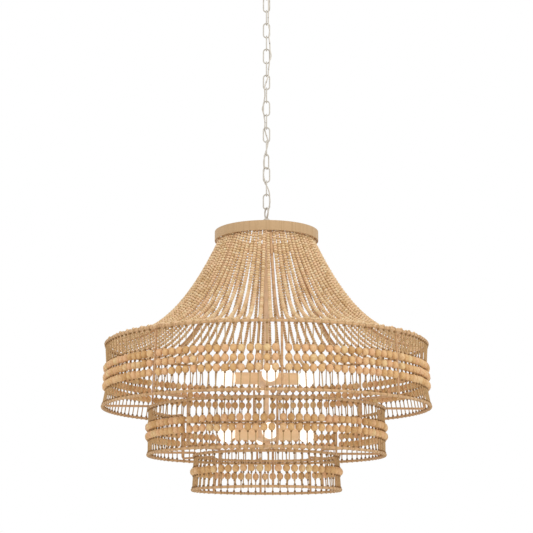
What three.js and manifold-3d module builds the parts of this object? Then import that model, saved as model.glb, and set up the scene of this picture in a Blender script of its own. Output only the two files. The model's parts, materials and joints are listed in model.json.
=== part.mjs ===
import * as THREE from "three";
import { mergeVertices } from "three/addons/utils/BufferGeometryUtils.js";
import Module from "manifold-3d";

// A chandelier of wooden beads strung between wire rings and hung on a chain.
// Millimetres, Z up. The origin is on the ceiling, on the middle line.

const wasm = await Module();
wasm.setup();

// Clearance between pieces that touch, and how far a cut runs past a face
const fitGap = 0.3;
const cutOverrun = 2;

// Ceiling bracket and canopy
const bracketScrewSpacing = 84;
const bracketScrewHole = 5.2;
const bracketEndMargin = 8;
const bracketLength = bracketScrewSpacing + 2 * bracketEndMargin;
const bracketWidth = 24;
const bracketThickness = 3;
const canopyDiameter = 127;
const canopyHeight = 25;
const canopyWall = 1.6;
const canopySkirt = 4;
const canopyCrown = 36;

// The loop under the canopy and the loop on top of the body
const loopWire = 4;
const loopStemDiameter = 10;
const loopFlangeDiameter = 22;
const loopFlangeHeight = 5.7;
const loopNeckHeight = 3.6;
const loopNeckDiameter = 11;
const canopyRingBore = 24;
const bodyRingBore = 26;
const bodyCollarDiameter = 19;
const bodyCollarHeight = 15;
const stemInsert = 8;

// Chain
const linkCount = 16;
const linkWire = 3.5;
const linkInnerLength = 39.9;
const linkInnerWidth = 14;
const twistedLink = 13;

// Supply cord
const cordDiameter = 3.8;
const cordBore = 5.4;
const cordTail = 14;

// Stem, lamp clusters and finial
const stemDiameter = 12.7;
const stemBore = 9;
const seatNutDiameter = 21;
const seatNutHeight = 5;
const ringToHoop = 70.5;
const upperHubDrop = 88;
const lowerHubDrop = 241;
const hubDiameter = 57;
const hubHeight = 38;
const hubEdge = 6;
const finialDiameter = 24;
const finialHeight = 22;
const finialInsert = 8;

// Lamps: a sleeve with the lamp holder in it, and a globe bulb screwed into the holder
const lampCount = 4;
const sleeveDiameter = 33;
const sleeveLength = 58;
const sleeveWall = 1.8;
const holderLength = 50;
const bulbBaseDiameter = 12;
const bulbBaseLength = 20;
const globeDiameter = 45;
const bulbNeckDiameter = 26;
const globeStandoff = 1;

// Top hoop with its spider
const hoopDiameter = 292;
const hoopHeight = 27.6;
const hoopWall = 3;
const spiderSpokes = 4;
const spiderSpokeWidth = 10;
const spiderSpokeThickness = 4;
const spiderCollarDiameter = 26;
const spiderCollarHeight = 10;

// Wire rings and ribs
const ringWire = 7;
const ribWire = 5;
const ribCount = 8;
const firstRibAngle = 5;
const bendRadius = 8;

// Bell: the strung surface that flares from the hoop down to the first tier
const bellHeight = 300;
const bellTopPull = 217;
const bellTopFlare = 86;
const bellFootPull = 157;
const bellFootRise = 34;
const bellStrands = 10;
const bellRibSpace = 6.3;
const bellBeadDiameter = 10.5;

// First tier, from the outside of the lamp
const tier1TopRadius = 443;
const tier1Flare = 5.5;
const tier1Height = 171;
const tier1Strings = 16;
const tier1RibSpace = 4.2;
const tier1FirstRow = 67.1;
const tier1Rows = 3;
const tier1CordInset = 4.5;

// Second tier
const tier2Drop = 174.9;
const tier2TopRadius = 317;
const tier2Flare = 0;
const tier2Height = 124.7;
const tier2Strings = 12;
const tier2RibSpace = 5;
const tier2FirstRow = 48.8;
const tier2Rows = 2;
const tier2CordInset = 0;

// Third tier
const tier3Drop = 300.7;
const tier3TopRadius = 197.5;
const tier3Flare = 3.5;
const tier3Height = 92;
const tier3Strings = 7;
const tier3RibSpace = 9;
const tier3FirstRow = 44.1;
const tier3Rows = 1;
const tier3CordInset = 0;

// Beads and the cord they are strung on. One string in stringStep is solid here.
const beadDiameter = 17;
const beadRowPitch = 26.4;
const stringCord = 2;
const knotDiameter = 3.6;
const stringStep = 2;

// Numbers of faces
const linkSides = 5;
const stringSides = 3;
const ringSides = 4;
const ribSides = 4;
const bellSteps = 5;
const ribBellSteps = 8;
const bendSteps = 2;
const cordLongStep = 6;
const cordSides = 8;
const smallRound = 12;
const canopyRound = 16;
const hoopRound = 32;

// Colours
const cream = "#d8cfc2";
const plaster = "#e3d9cd";
const tan = "#c9a878";
const wood = "#c8a988";
const paleWood = "#d3b593";
const strawBand = "#cdb28a";
const lampWhite = "#fbf6ec";
const cordCream = "#d9d2c6";

const chandelier = new THREE.Group();
const up = new THREE.Vector3(0, 0, 1);
const xAxis = new THREE.Vector3(1, 0, 0);

function addMesh(name, geometry, color, roughness, metalness) {
  const material = new THREE.MeshStandardMaterial({ color, roughness, metalness });
  const mesh = new THREE.Mesh(geometry, material);
  mesh.name = name;
  chandelier.add(mesh);
  return mesh;
}

// Joining and cutting
function toSolid(geometry) {
  const plain = geometry.clone();
  plain.deleteAttribute("normal");
  plain.deleteAttribute("uv");
  const merged = mergeVertices(plain, fitGap / 100);
  return new wasm.Manifold(
    new wasm.Mesh({
      numProp: 3,
      vertProperties: new Float32Array(merged.attributes.position.array),
      triVerts: new Uint32Array(merged.index.array),
    }),
  );
}

function toGeometry(solid) {
  const mesh = solid.getMesh();
  const points = new Float32Array(mesh.numVert * 3);
  for (let i = 0; i < mesh.numVert; i++) {
    const from = i * mesh.numProp;
    points.set(mesh.vertProperties.subarray(from, from + 3), i * 3);
  }
  const geometry = new THREE.BufferGeometry();
  geometry.setAttribute("position", new THREE.BufferAttribute(points, 3));
  geometry.setIndex(new THREE.BufferAttribute(new Uint32Array(mesh.triVerts), 1));
  return geometry;
}

function join(...geometries) {
  const solids = geometries.map(toSolid);
  return toGeometry(solids.reduce((a, b) => a.add(b)));
}

function cut(geometry, ...tools) {
  let solid = toSolid(geometry);
  for (const tool of tools) {
    solid = solid.subtract(toSolid(tool));
  }
  return toGeometry(solid);
}

// A body of revolution about Z from [radius, height] pairs, first vertex at an angle
function turned(profile, segments, startAngle = 0) {
  const points = profile.map(([r, z]) => new THREE.Vector2(r, z));
  const geometry = new THREE.LatheGeometry(points, segments);
  geometry.rotateX(Math.PI / 2);
  geometry.rotateZ(startAngle);
  return geometry;
}

function upright(diameter, bottom, top, segments = smallRound) {
  const radius = diameter / 2;
  return turned([[0, bottom], [radius, bottom], [radius, top], [0, top]], segments);
}

// A closed body through stations, each with a point, a radius and a normal to its bends.
// Sections stand on the bisector of the bends, so bars keep their thickness round them.
function sweep(stations, sides, closed = false) {
  const count = stations.length;
  const points = [];
  for (let i = 0; i < count; i++) {
    const { point, radius, normal } = stations[i];
    const before = stations[closed ? (i + count - 1) % count : Math.max(i - 1, 0)].point;
    const after = stations[closed ? (i + 1) % count : Math.min(i + 1, count - 1)].point;
    const into = point.clone().sub(before);
    const out = after.clone().sub(point);
    if (into.length() === 0) {
      into.copy(out);
    }
    if (out.length() === 0) {
      out.copy(into);
    }
    into.normalize();
    out.normalize();
    const along = into.clone().add(out).normalize();
    const across = along.clone().cross(normal).normalize();
    const lift = across.clone().cross(along).normalize();
    const turn = into.clone().addScaledVector(normal, -into.dot(normal)).normalize();
    const flat = along.clone().addScaledVector(normal, -along.dot(normal)).normalize();
    const widen = 1 / Math.max(turn.dot(flat), Math.SQRT1_2);
    for (let s = 0; s < sides; s++) {
      const angle = (s / sides) * 2 * Math.PI;
      const p = point.clone();
      p.addScaledVector(lift, radius * Math.cos(angle));
      p.addScaledVector(across, radius * widen * Math.sin(angle));
      points.push(p.x, p.y, p.z);
    }
  }
  const faces = [];
  const spans = closed ? count : count - 1;
  for (let i = 0; i < spans; i++) {
    const a = i * sides;
    const b = ((i + 1) % count) * sides;
    for (let s = 0; s < sides; s++) {
      const t = (s + 1) % sides;
      faces.push(a + s, b + t, b + s, a + s, a + t, b + t);
    }
  }
  if (!closed) {
    const end = (count - 1) * sides;
    for (let s = 1; s < sides - 1; s++) {
      faces.push(0, s + 1, s, end, end + s, end + s + 1);
    }
  }
  const geometry = new THREE.BufferGeometry();
  geometry.setAttribute("position", new THREE.Float32BufferAttribute(points, 3));
  geometry.setIndex(faces);
  return geometry;
}

function facingOut(geometry) {
  const solid = toSolid(geometry);
  if (solid.volume() > 0) {
    return geometry;
  }
  const index = Array.from(geometry.index.array);
  for (let i = 0; i < index.length; i += 3) {
    [index[i + 1], index[i + 2]] = [index[i + 2], index[i + 1]];
  }
  geometry.setIndex(index);
  return geometry;
}

function atAngle(radius, degrees, height) {
  const angle = THREE.MathUtils.degToRad(degrees);
  return new THREE.Vector3(radius * Math.cos(angle), radius * Math.sin(angle), height);
}

// Ceiling bracket, flat against the ceiling
const bracketBottom = -bracketThickness;
const bracketBar = new THREE.BoxGeometry(bracketLength, bracketWidth, bracketThickness);
bracketBar.translate(0, 0, bracketBottom / 2);
const stemHole = loopStemDiameter + 2 * fitGap;
const bracketCuts = [upright(stemHole, bracketBottom - cutOverrun, cutOverrun)];
for (const side of [-1, 1]) {
  const hole = upright(bracketScrewHole, bracketBottom - cutOverrun, cutOverrun, smallRound / 2);
  hole.translate((side * bracketScrewSpacing) / 2, 0, 0);
  bracketCuts.push(hole);
}
addMesh("ceiling_bracket", cut(bracketBar, ...bracketCuts), plaster, 0.45, 0.6);

// Canopy, a thin dome round the bracket
const canopyRadius = canopyDiameter / 2;
const canopyHole = stemHole / 2;
const crownRadius = canopyCrown / 2;
const canopyInner = canopyRadius - canopyWall;
function domeArc(radius, low, steps) {
  const arc = [];
  for (let i = 0; i <= steps; i++) {
    const angle = (i / steps) * (Math.PI / 2);
    const r = crownRadius + (radius - crownRadius) * Math.cos(angle);
    arc.push([r, -canopySkirt - (low - canopySkirt) * Math.sin(angle)]);
  }
  return arc;
}
const domeSteps = 3;
const canopyProfile = [
  [canopyRadius, 0],
  ...domeArc(canopyRadius, canopyHeight, domeSteps),
  [canopyHole, -canopyHeight],
  [canopyHole, -canopyHeight + canopyWall],
  ...domeArc(canopyInner, canopyHeight - canopyWall, domeSteps).reverse(),
  [canopyInner, 0],
  [canopyRadius, 0],
];
addMesh("canopy_shell", facingOut(turned(canopyProfile, canopyRound)), plaster, 0.45, 0.6);

// A wire ring that stands on edge at a yaw, with its middle at a height
function loopRing(bore, height, yaw) {
  const radius = (bore + loopWire) / 2;
  const ring = new THREE.TorusGeometry(radius, loopWire / 2, linkSides, smallRound);
  ring.rotateX(Math.PI / 2);
  ring.rotateZ(THREE.MathUtils.degToRad(yaw));
  ring.translate(0, 0, height);
  return ring;
}

function linkYaw(k) {
  if (k === twistedLink) {
    return 45;
  }
  const shifted = k > twistedLink ? k + 1 : k;
  return shifted % 2 === 1 ? 0 : 90;
}

// Loop under the canopy: threaded stem, flange that holds the canopy up, and ring
const flangeTop = -canopyHeight - fitGap;
const flangeBottom = flangeTop - loopFlangeHeight;
const canopyRingTop = flangeBottom - loopNeckHeight;
const canopyRingMiddle = canopyRingTop - (canopyRingBore + loopWire) / 2;
const canopyRingFoot = canopyRingMiddle - (canopyRingBore + loopWire) / 2;
const neckRadius = loopNeckDiameter / 2;
const flangeRadius = loopFlangeDiameter / 2;
const stemRadius = loopStemDiameter / 2;
const canopyLoopTurned = turned(
  [
    [0, canopyRingTop - loopWire / 2],
    [neckRadius, canopyRingTop],
    [neckRadius, flangeBottom],
    [flangeRadius, flangeBottom + fitGap],
    [flangeRadius, flangeTop],
    [stemRadius, flangeTop],
    [stemRadius, bracketBottom / 2],
    [0, bracketBottom / 2],
  ],
  smallRound,
);
const canopyLoopYaw = linkYaw(1) + 90;
const canopyLoopSolid = join(
  canopyLoopTurned,
  loopRing(canopyRingBore, canopyRingMiddle, canopyLoopYaw),
);
const canopyBore = upright(cordBore, canopyRingTop - loopWire, cutOverrun, cordSides);
addMesh("canopy_loop", cut(canopyLoopSolid, canopyBore), cream, 0.4, 0.7);

// Chain: each link hooks through the one above and swings on its wire
const bowRadius = (linkInnerWidth + linkWire) / 2;
const linkPitch = linkInnerLength - fitGap;
const firstLinkTop = canopyRingFoot + loopWire / 2 + linkWire / 2 + fitGap;

function linkTop(k) {
  return firstLinkTop - (k - 1) * linkPitch;
}

function linkFoot(k) {
  return linkTop(k) - linkInnerLength - linkWire;
}

function linkGeometry(k) {
  const middle = (linkTop(k) + linkFoot(k)) / 2;
  const straight = (linkInnerLength - linkInnerWidth) / 2;
  const corner = bowRadius / Math.cos(Math.PI / 8);
  const stations = [];
  for (let i = 0; i < 8; i++) {
    const angle = ((i + 0.5) / 8) * 2 * Math.PI;
    const x = corner * Math.cos(angle);
    const z = corner * Math.sin(angle);
    const point = new THREE.Vector3(x, 0, z + Math.sign(z) * straight);
    const normal = new THREE.Vector3(0, 1, 0);
    stations.push({ point, radius: linkWire / 2, normal });
  }
  const geometry = facingOut(sweep(stations, linkSides, true));
  geometry.rotateZ(THREE.MathUtils.degToRad(linkYaw(k)));
  geometry.translate(0, 0, middle);
  return geometry;
}

for (let k = 1; k <= linkCount; k++) {
  const name = "chain_link_" + String(k).padStart(2, "0");
  addMesh(name, linkGeometry(k), cream, 0.4, 0.7);
}

// Loop on top of the body, screwed over the end of the stem
const bodyRingTop = linkFoot(linkCount) + linkWire / 2 + loopWire / 2 + fitGap;
const bodyRingMiddle = bodyRingTop - (bodyRingBore + loopWire) / 2;
const bodyRingFoot = bodyRingMiddle - (bodyRingBore + loopWire) / 2;
const collarBottom = bodyRingFoot - bodyCollarHeight;
const collarRadius = bodyCollarDiameter / 2;
const bodyLoopTurned = turned(
  [
    [0, collarBottom],
    [collarRadius, collarBottom],
    [collarRadius, bodyRingFoot - loopWire],
    [neckRadius, bodyRingFoot],
    [0, bodyRingFoot + loopWire / 2],
  ],
  smallRound,
);
const bodyLoopYaw = linkYaw(linkCount) + 90;
const bodyLoopSolid = join(
  bodyLoopTurned,
  loopRing(bodyRingBore, bodyRingMiddle, bodyLoopYaw),
);
const stemTop = collarBottom + stemInsert;
const stemSocket = upright(
  stemDiameter + 2 * fitGap,
  collarBottom - cutOverrun,
  stemTop + fitGap,
);
const bodyBore = upright(cordBore, collarBottom, bodyRingFoot + loopWire, cordSides);
addMesh("body_loop", cut(bodyLoopSolid, stemSocket, bodyBore), cream, 0.4, 0.7);

// Levels of the body
const hoopTop = bodyRingTop - ringToHoop;
const hoopBottom = hoopTop - hoopHeight;
const tier1Top = hoopBottom - bellHeight;
const hoopMiddle = (hoopTop + hoopBottom) / 2;
const upperHub = tier1Top - upperHubDrop;
const lowerHub = tier1Top - lowerHubDrop;
const hubRadius = hubDiameter / 2;
const finialTop = lowerHub - hubHeight / 2 - fitGap;
const stemBottom = finialTop - finialInsert;

// Stem tube, with the nut that the spider sits on
const spiderBottom = hoopMiddle - spiderCollarHeight / 2;
const nutTop = spiderBottom - fitGap;
const stemR = stemDiameter / 2;
const boreR = stemBore / 2;
const nutR = seatNutDiameter / 2;
const stemProfile = [
  [boreR, stemBottom],
  [stemR, stemBottom],
  [stemR, nutTop - seatNutHeight],
  [nutR, nutTop - seatNutHeight],
  [nutR, nutTop],
  [stemR, nutTop],
  [stemR, stemTop],
  [boreR, stemTop],
  [boreR, stemBottom],
];
addMesh("stem_tube", facingOut(turned(stemProfile, smallRound)), cream, 0.4, 0.6);

// Supply cord: woven round the chain from the canopy to the stem.
// Places beside the chain are in shares of the clear distance from a link's middle.
const cordAside = linkWire / 2 + cordDiameter / 2 + 2 * fitGap;
const cordAtContactShares = [
  [1.15, -1],
  [1.3, -1],
  [1.2, -1],
  [1.6, -1],
  [2.3, -1],
  [1.9, -1],
  [1.2, -1],
  [-1.3, -1],
  [-1.6, 1],
  [-1.6, 1],
  [-1.2, 1],
  [1.05, 1],
  [-1.05, 1],
  [-1.6, 1.05],
  [-1.05, 1],
  [2, 1],
  [1.5, 1],
];
const cordAtLinkShares = [
  [1.4, -1],
  [1.2, -1],
  [2, -1],
  [2.1, -1],
  [3.05, -1],
  [1.4, -1],
  [-0.1, -1],
  [-1.05, 0],
  [-2.7, 1],
  [-1.05, 1],
  [-0.1, 1],
  [0.2, 1],
  [-1.9, 1.1],
  [-1.9, 1],
  [1.05, 1],
  [2.2, 1],
];
function cordPoint([acrossShare, depthShare], height) {
  return new THREE.Vector3(acrossShare * cordAside, depthShare * cordAside, height);
}
const nearContact = linkWire + fitGap;
const canopyMouth = canopyRingTop - loopWire / 2;
const bodyMouth = bodyRingFoot + loopWire / 2;
const cordRoute = [
  new THREE.Vector3(0, 0, bracketBottom / 2 - linkWire),
  new THREE.Vector3(0, 0, canopyMouth + loopWire + loopFlangeHeight),
  new THREE.Vector3(0, 0, canopyMouth - loopWire / 4),
  cordPoint([0.75, -0.6], canopyMouth - 2 * loopWire),
  cordPoint(cordAtContactShares[0], firstLinkTop + nearContact),
  cordPoint(cordAtContactShares[0], firstLinkTop - nearContact),
];
for (let k = 1; k <= linkCount; k++) {
  const above = cordAtContactShares[(k - 1) % cordAtContactShares.length];
  const beside = cordAtLinkShares[(k - 1) % cordAtLinkShares.length];
  const below = cordAtContactShares[k % cordAtContactShares.length];
  if (k > 1) {
    cordRoute.push(cordPoint(above, linkTop(k) - nearContact));
  }
  cordRoute.push(cordPoint(beside, (linkTop(k) + linkFoot(k)) / 2));
  cordRoute.push(cordPoint(below, linkFoot(k) + nearContact));
}
cordRoute.push(cordPoint([1.2, 1], linkFoot(linkCount) - nearContact));
cordRoute.push(cordPoint([0.55, 0.5], bodyMouth + 2 * loopWire));
cordRoute.push(new THREE.Vector3(0, 0, bodyMouth));
cordRoute.push(new THREE.Vector3(0, 0, bodyMouth - loopWire));
cordRoute.push(new THREE.Vector3(0, 0, stemTop - cordTail));
const cordCurve = new THREE.CatmullRomCurve3(cordRoute, false, "centripetal");
const cordPoints = [];
cordRoute.forEach((place, i) => {
  cordPoints.push(place);
  const next = cordRoute[i + 1];
  if (next && place.distanceTo(next) > cordLongStep * cordDiameter) {
    cordPoints.push(cordCurve.getPoint((i + 0.5) / (cordRoute.length - 1)));
  }
});
const cordStations = cordPoints.map((point) => {
  return { point, radius: cordDiameter / 2, normal: xAxis };
});
addMesh("supply_cord", facingOut(sweep(cordStations, cordSides)), cordCream, 0.6, 0);

// Lamp clusters: a hub on the stem, four sleeves with lamp holders, four bulbs
function hubGeometry(height) {
  const half = hubHeight / 2;
  const bore = stemR + fitGap;
  const profile = [
    [bore, height - half],
    [hubRadius - hubEdge, height - half],
    [hubRadius, height - half + hubEdge],
    [hubRadius, height + half - hubEdge],
    [hubRadius - hubEdge, height + half],
    [bore, height + half],
    [bore, height - half],
  ];
  return facingOut(turned(profile, smallRound, THREE.MathUtils.degToRad(firstRibAngle)));
}

const sleeveStart = hubRadius + fitGap;
const sleeveR = sleeveDiameter / 2;
const sleeveBoreR = sleeveR - sleeveWall;
const bulbBaseR = bulbBaseDiameter / 2;
const bulbStart = holderLength - bulbBaseLength;
const sleeveProfile = [
  [0, 0],
  [sleeveR, 0],
  [sleeveR, sleeveLength],
  [sleeveBoreR, sleeveLength],
  [sleeveBoreR, holderLength],
  [bulbBaseR + fitGap, holderLength],
  [bulbBaseR + fitGap, bulbStart - fitGap],
  [0, bulbStart - fitGap],
];

const globeR = globeDiameter / 2;
const neckR = bulbNeckDiameter / 2;
const globeMiddle = sleeveLength + globeStandoff + globeR;
const bulbProfile = [
  [0, bulbStart],
  [bulbBaseR, bulbStart],
  [bulbBaseR, holderLength],
  [neckR, globeMiddle - Math.sqrt(globeR ** 2 - neckR ** 2)],
];
for (const share of [-0.45, 0, 0.45, 0.8]) {
  bulbProfile.push([globeR * Math.sqrt(1 - share ** 2), globeMiddle + share * globeR]);
}
bulbProfile.push([0, globeMiddle + globeR]);

// Lays a turned piece out along a spoke of the cluster
function layOut(profile, segments, index, height) {
  const geometry = facingOut(turned(profile, segments));
  geometry.rotateY(Math.PI / 2);
  geometry.translate(sleeveStart, 0, 0);
  const angle = firstRibAngle + (index * 360) / lampCount;
  geometry.rotateZ(THREE.MathUtils.degToRad(angle));
  geometry.translate(0, 0, height);
  return geometry;
}

const lampRound = 8;
for (const [level, height] of [["upper", upperHub], ["lower", lowerHub]]) {
  addMesh(level + "_hub", hubGeometry(height), plaster, 0.5, 0.3);
  for (let i = 0; i < lampCount; i++) {
    const sleeve = layOut(sleeveProfile, lampRound, i, height);
    addMesh(level + "_lamp_sleeve_" + (i + 1), sleeve, plaster, 0.5, 0.1);
    const bulb = layOut(bulbProfile, lampRound, i, height);
    addMesh(level + "_bulb_" + (i + 1), bulb, lampWhite, 0.25, 0);
  }
}

// Finial nut under the lower hub
const finialR = finialDiameter / 2;
const finialBoreR = stemR + fitGap;
const finialProfile = [
  [0, finialTop - finialHeight],
  [0.45 * finialR, finialTop - 0.93 * finialHeight],
  [finialR, finialTop - 0.5 * finialHeight],
  [0.8 * finialR, finialTop],
  [finialBoreR, finialTop],
  [finialBoreR, stemBottom - fitGap],
  [0, stemBottom - fitGap],
];
addMesh("finial", facingOut(turned(finialProfile, smallRound)), cream, 0.4, 0.6);

// Top hoop with the spider that carries it on the stem
const hoopOuter = hoopDiameter / 2;
const hoopInner = hoopOuter - hoopWall;
const firstAngle = THREE.MathUtils.degToRad(firstRibAngle);
const hoopBand = facingOut(
  turned(
    [
      [hoopInner, hoopBottom],
      [hoopOuter, hoopBottom],
      [hoopOuter, hoopTop],
      [hoopInner, hoopTop],
      [hoopInner, hoopBottom],
    ],
    hoopRound,
    firstAngle,
  ),
);
const spiderCollar = upright(
  spiderCollarDiameter,
  spiderBottom,
  spiderBottom + spiderCollarHeight,
);
const hoopPieces = [hoopBand, spiderCollar];
for (let i = 0; i < spiderSpokes; i++) {
  const spoke = new THREE.BoxGeometry(
    hoopInner + hoopWall / 2,
    spiderSpokeWidth,
    spiderSpokeThickness,
  );
  spoke.translate((hoopInner + hoopWall / 2) / 2, 0, hoopMiddle);
  const angle = firstRibAngle + ((i + 0.25) * 360) / spiderSpokes;
  spoke.rotateZ(THREE.MathUtils.degToRad(angle));
  hoopPieces.push(spoke);
}
const spiderBore = upright(
  stemDiameter + 2 * fitGap,
  spiderBottom - cutOverrun,
  spiderBottom + spiderCollarHeight + cutOverrun,
);
addMesh("top_hoop", cut(join(...hoopPieces), spiderBore), strawBand, 0.85, 0);

// Tiers
const tiers = [
  {
    name: "tier_1",
    top: tier1Top,
    topRadius: tier1TopRadius,
    footRadius: tier1TopRadius + tier1Flare,
    height: tier1Height,
    strings: tier1Strings,
    ribSpace: tier1RibSpace,
    firstRow: tier1FirstRow,
    rows: tier1Rows,
    inset: tier1CordInset,
    ringSteps: 32,
  },
  {
    name: "tier_2",
    top: tier1Top - tier2Drop,
    topRadius: tier2TopRadius,
    footRadius: tier2TopRadius + tier2Flare,
    height: tier2Height,
    strings: tier2Strings,
    ribSpace: tier2RibSpace,
    firstRow: tier2FirstRow,
    rows: tier2Rows,
    inset: tier2CordInset,
    ringSteps: 32,
  },
  {
    name: "tier_3",
    top: tier1Top - tier3Drop,
    topRadius: tier3TopRadius,
    footRadius: tier3TopRadius + tier3Flare,
    height: tier3Height,
    strings: tier3Strings,
    ribSpace: tier3RibSpace,
    firstRow: tier3FirstRow,
    rows: tier3Rows,
    inset: tier3CordInset,
    ringSteps: 24,
  },
];

function ringGeometry(radius, height, steps) {
  const stations = [];
  for (let i = 0; i < steps; i++) {
    const angle = firstRibAngle + (i / steps) * 360;
    stations.push({
      point: atAngle(radius, angle, height),
      radius: ringWire / 2,
      normal: up,
    });
  }
  return facingOut(sweep(stations, ringSides, true));
}

for (const tier of tiers) {
  const { name, top, topRadius, footRadius, height, ringSteps } = tier;
  const topRing = ringGeometry(topRadius, top, ringSteps);
  addMesh(name + "_top_ring", topRing, tan, 0.85, 0);
  const footRing = ringGeometry(footRadius, top - height, ringSteps);
  addMesh(name + "_foot_ring", footRing, tan, 0.85, 0);
}

// Ribs: one bent rod from the hoop down the bell and over each ring to the foot
const ribInset = ringWire / 2 + fitGap + ribWire / 2;
const hookRadius = ribInset;
const hoopRibRadius = hoopInner - fitGap - ribWire / 2;
const ribHeadRise = 0.8 * hoopHeight;

function bellCurve(topRadius, topHeight, footRadius, footHeight) {
  const start = new THREE.Vector2(topRadius, topHeight);
  const end = new THREE.Vector2(footRadius, footHeight);
  const leave = start.clone().add(new THREE.Vector2(bellTopFlare, -bellTopPull));
  const arrive = end.clone().add(new THREE.Vector2(-bellFootPull, bellFootRise));
  return new THREE.CubicBezierCurve(start, leave, arrive, end);
}

// Points of an arc in the rib's plane, from one direction to another, in degrees
function arcPoints(middle, radius, from, to) {
  const points = [];
  for (let i = 0; i <= bendSteps; i++) {
    const angle = THREE.MathUtils.degToRad(from + ((to - from) * i) / bendSteps);
    const side = new THREE.Vector2(Math.cos(angle), Math.sin(angle));
    points.push(middle.clone().addScaledVector(side, radius));
  }
  return points;
}

function ribOutline() {
  const [first, second, third] = tiers;
  const shoulder = new THREE.Vector2(first.topRadius - ribInset - bendRadius, first.top);
  const arrival = THREE.MathUtils.radToDeg(Math.atan2(bellFootPull, bellFootRise));
  const shoulderArc = arcPoints(shoulder, bendRadius, arrival, 0);
  const bell = bellCurve(hoopRibRadius, hoopBottom, shoulderArc[0].x, shoulderArc[0].y);
  const outline = [new THREE.Vector2(hoopRibRadius, hoopBottom + ribHeadRise)];
  outline.push(...bell.getPoints(ribBellSteps));
  outline.push(...shoulderArc.slice(1));
  for (const [tier, next] of [[first, second], [second, third]]) {
    const spoke = next.top + hookRadius;
    const foot = tier.footRadius - ribInset;
    const corner = new THREE.Vector2(foot - bendRadius, spoke + bendRadius);
    outline.push(...arcPoints(corner, bendRadius, 0, -90));
    const hook = new THREE.Vector2(next.topRadius, next.top);
    outline.push(...arcPoints(hook, hookRadius, 90, 180));
  }
  outline.push(new THREE.Vector2(third.footRadius - ribInset, third.top - third.height));
  return outline;
}

const ribPlan = ribOutline();
for (let i = 0; i < ribCount; i++) {
  const angle = firstRibAngle + (i * 360) / ribCount;
  const normal = atAngle(1, angle + 90, 0);
  const stations = ribPlan.map(({ x, y }) => {
    return { point: atAngle(x, angle, y), radius: ribWire / 2, normal };
  });
  addMesh("rib_" + (i + 1), facingOut(sweep(stations, ribSides)), tan, 0.8, 0);
}

// Angles of the strings between the ribs, the same in every bay
function stringAngles(count, ribSpace) {
  const bay = 360 / ribCount;
  const angles = [];
  for (let b = 0; b < ribCount; b++) {
    for (let s = 0; s < count; s++) {
      const place = count > 1 ? s / (count - 1) : 0.5;
      angles.push(firstRibAngle + b * bay + ribSpace / 2 + place * (bay - ribSpace));
    }
  }
  return angles;
}

// One cord runs down a string, along the ring and back up the next
function strungCord(angles, profile) {
  const stations = [];
  angles.forEach((angle, i) => {
    const string = profile.map(({ r, z, radius, lean }) => {
      const normal = atAngle(Math.cos(lean), angle, Math.sin(lean));
      return { point: atAngle(r, angle, z), radius, normal };
    });
    stations.push(...(i % 2 === 0 ? string : string.reverse()));
  });
  return facingOut(sweep(stations, stringSides));
}

const cordR = stringCord / 2;
const runOffset = ringWire / 2 + fitGap + cordR;
for (const tier of tiers) {
  const profile = [{ r: tier.topRadius, z: tier.top - runOffset, radius: cordR, lean: 0 }];
  for (let end = 0; end <= 2 * tier.rows; end++) {
    // Even stations are the knots between the beads, odd ones the beads' middles
    const row = (end - 1) / 2;
    const isEnd = end === 0 || end === 2 * tier.rows;
    const nudge = isEnd ? Math.sign(end - 1) * (beadRowPitch - beadDiameter) * 0.5 : 0;
    const down = tier.firstRow + row * beadRowPitch - nudge;
    const wall = THREE.MathUtils.lerp(tier.topRadius, tier.footRadius, down / tier.height);
    const radius = end % 2 === 1 ? beadDiameter / 2 : knotDiameter / 2;
    profile.push({ r: wall - tier.inset, z: tier.top - down, radius, lean: 0 });
  }
  const foot = tier.top - tier.height + runOffset;
  profile.push({ r: tier.footRadius, z: foot, radius: cordR, lean: 0 });
  const count = Math.max(2, Math.floor(tier.strings / stringStep));
  const angles = stringAngles(count, tier.ribSpace);
  addMesh(tier.name + "_bead_strings", strungCord(angles, profile), wood, 0.6, 0);
}

// Bell strands: small beads from the hoop down to the first ring
const strandTop = hoopBottom - fitGap - cordR;
const strandFoot = tier1Top + runOffset;
const strandCurve = bellCurve(hoopOuter - hoopWall / 2, strandTop, tier1TopRadius, strandFoot);
const strandProfile = [];
const strandLength = strandCurve.getLength();
const endShare = bellBeadDiameter / strandLength;
for (let i = -1; i <= bellSteps + 1; i++) {
  const along = endShare + (1 - 2 * endShare) * (i / bellSteps);
  const share = THREE.MathUtils.clamp(along, 0, 1);
  const { x, y } = strandCurve.getPointAt(share);
  const tangent = strandCurve.getTangentAt(share);
  const lean = Math.atan2(tangent.x, -tangent.y);
  const atEnd = i < 0 || i > bellSteps;
  const radius = atEnd ? cordR : bellBeadDiameter / 2;
  strandProfile.push({ r: x, z: y, radius, lean: atEnd ? 0 : lean });
}
const strandCount = Math.max(2, Math.floor(bellStrands / stringStep));
const strandAngles = stringAngles(strandCount, bellRibSpace);
addMesh("bell_bead_strands", strungCord(strandAngles, strandProfile), paleWood, 0.6, 0);

export default chandelier;
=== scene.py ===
import json
import math
import random

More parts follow.
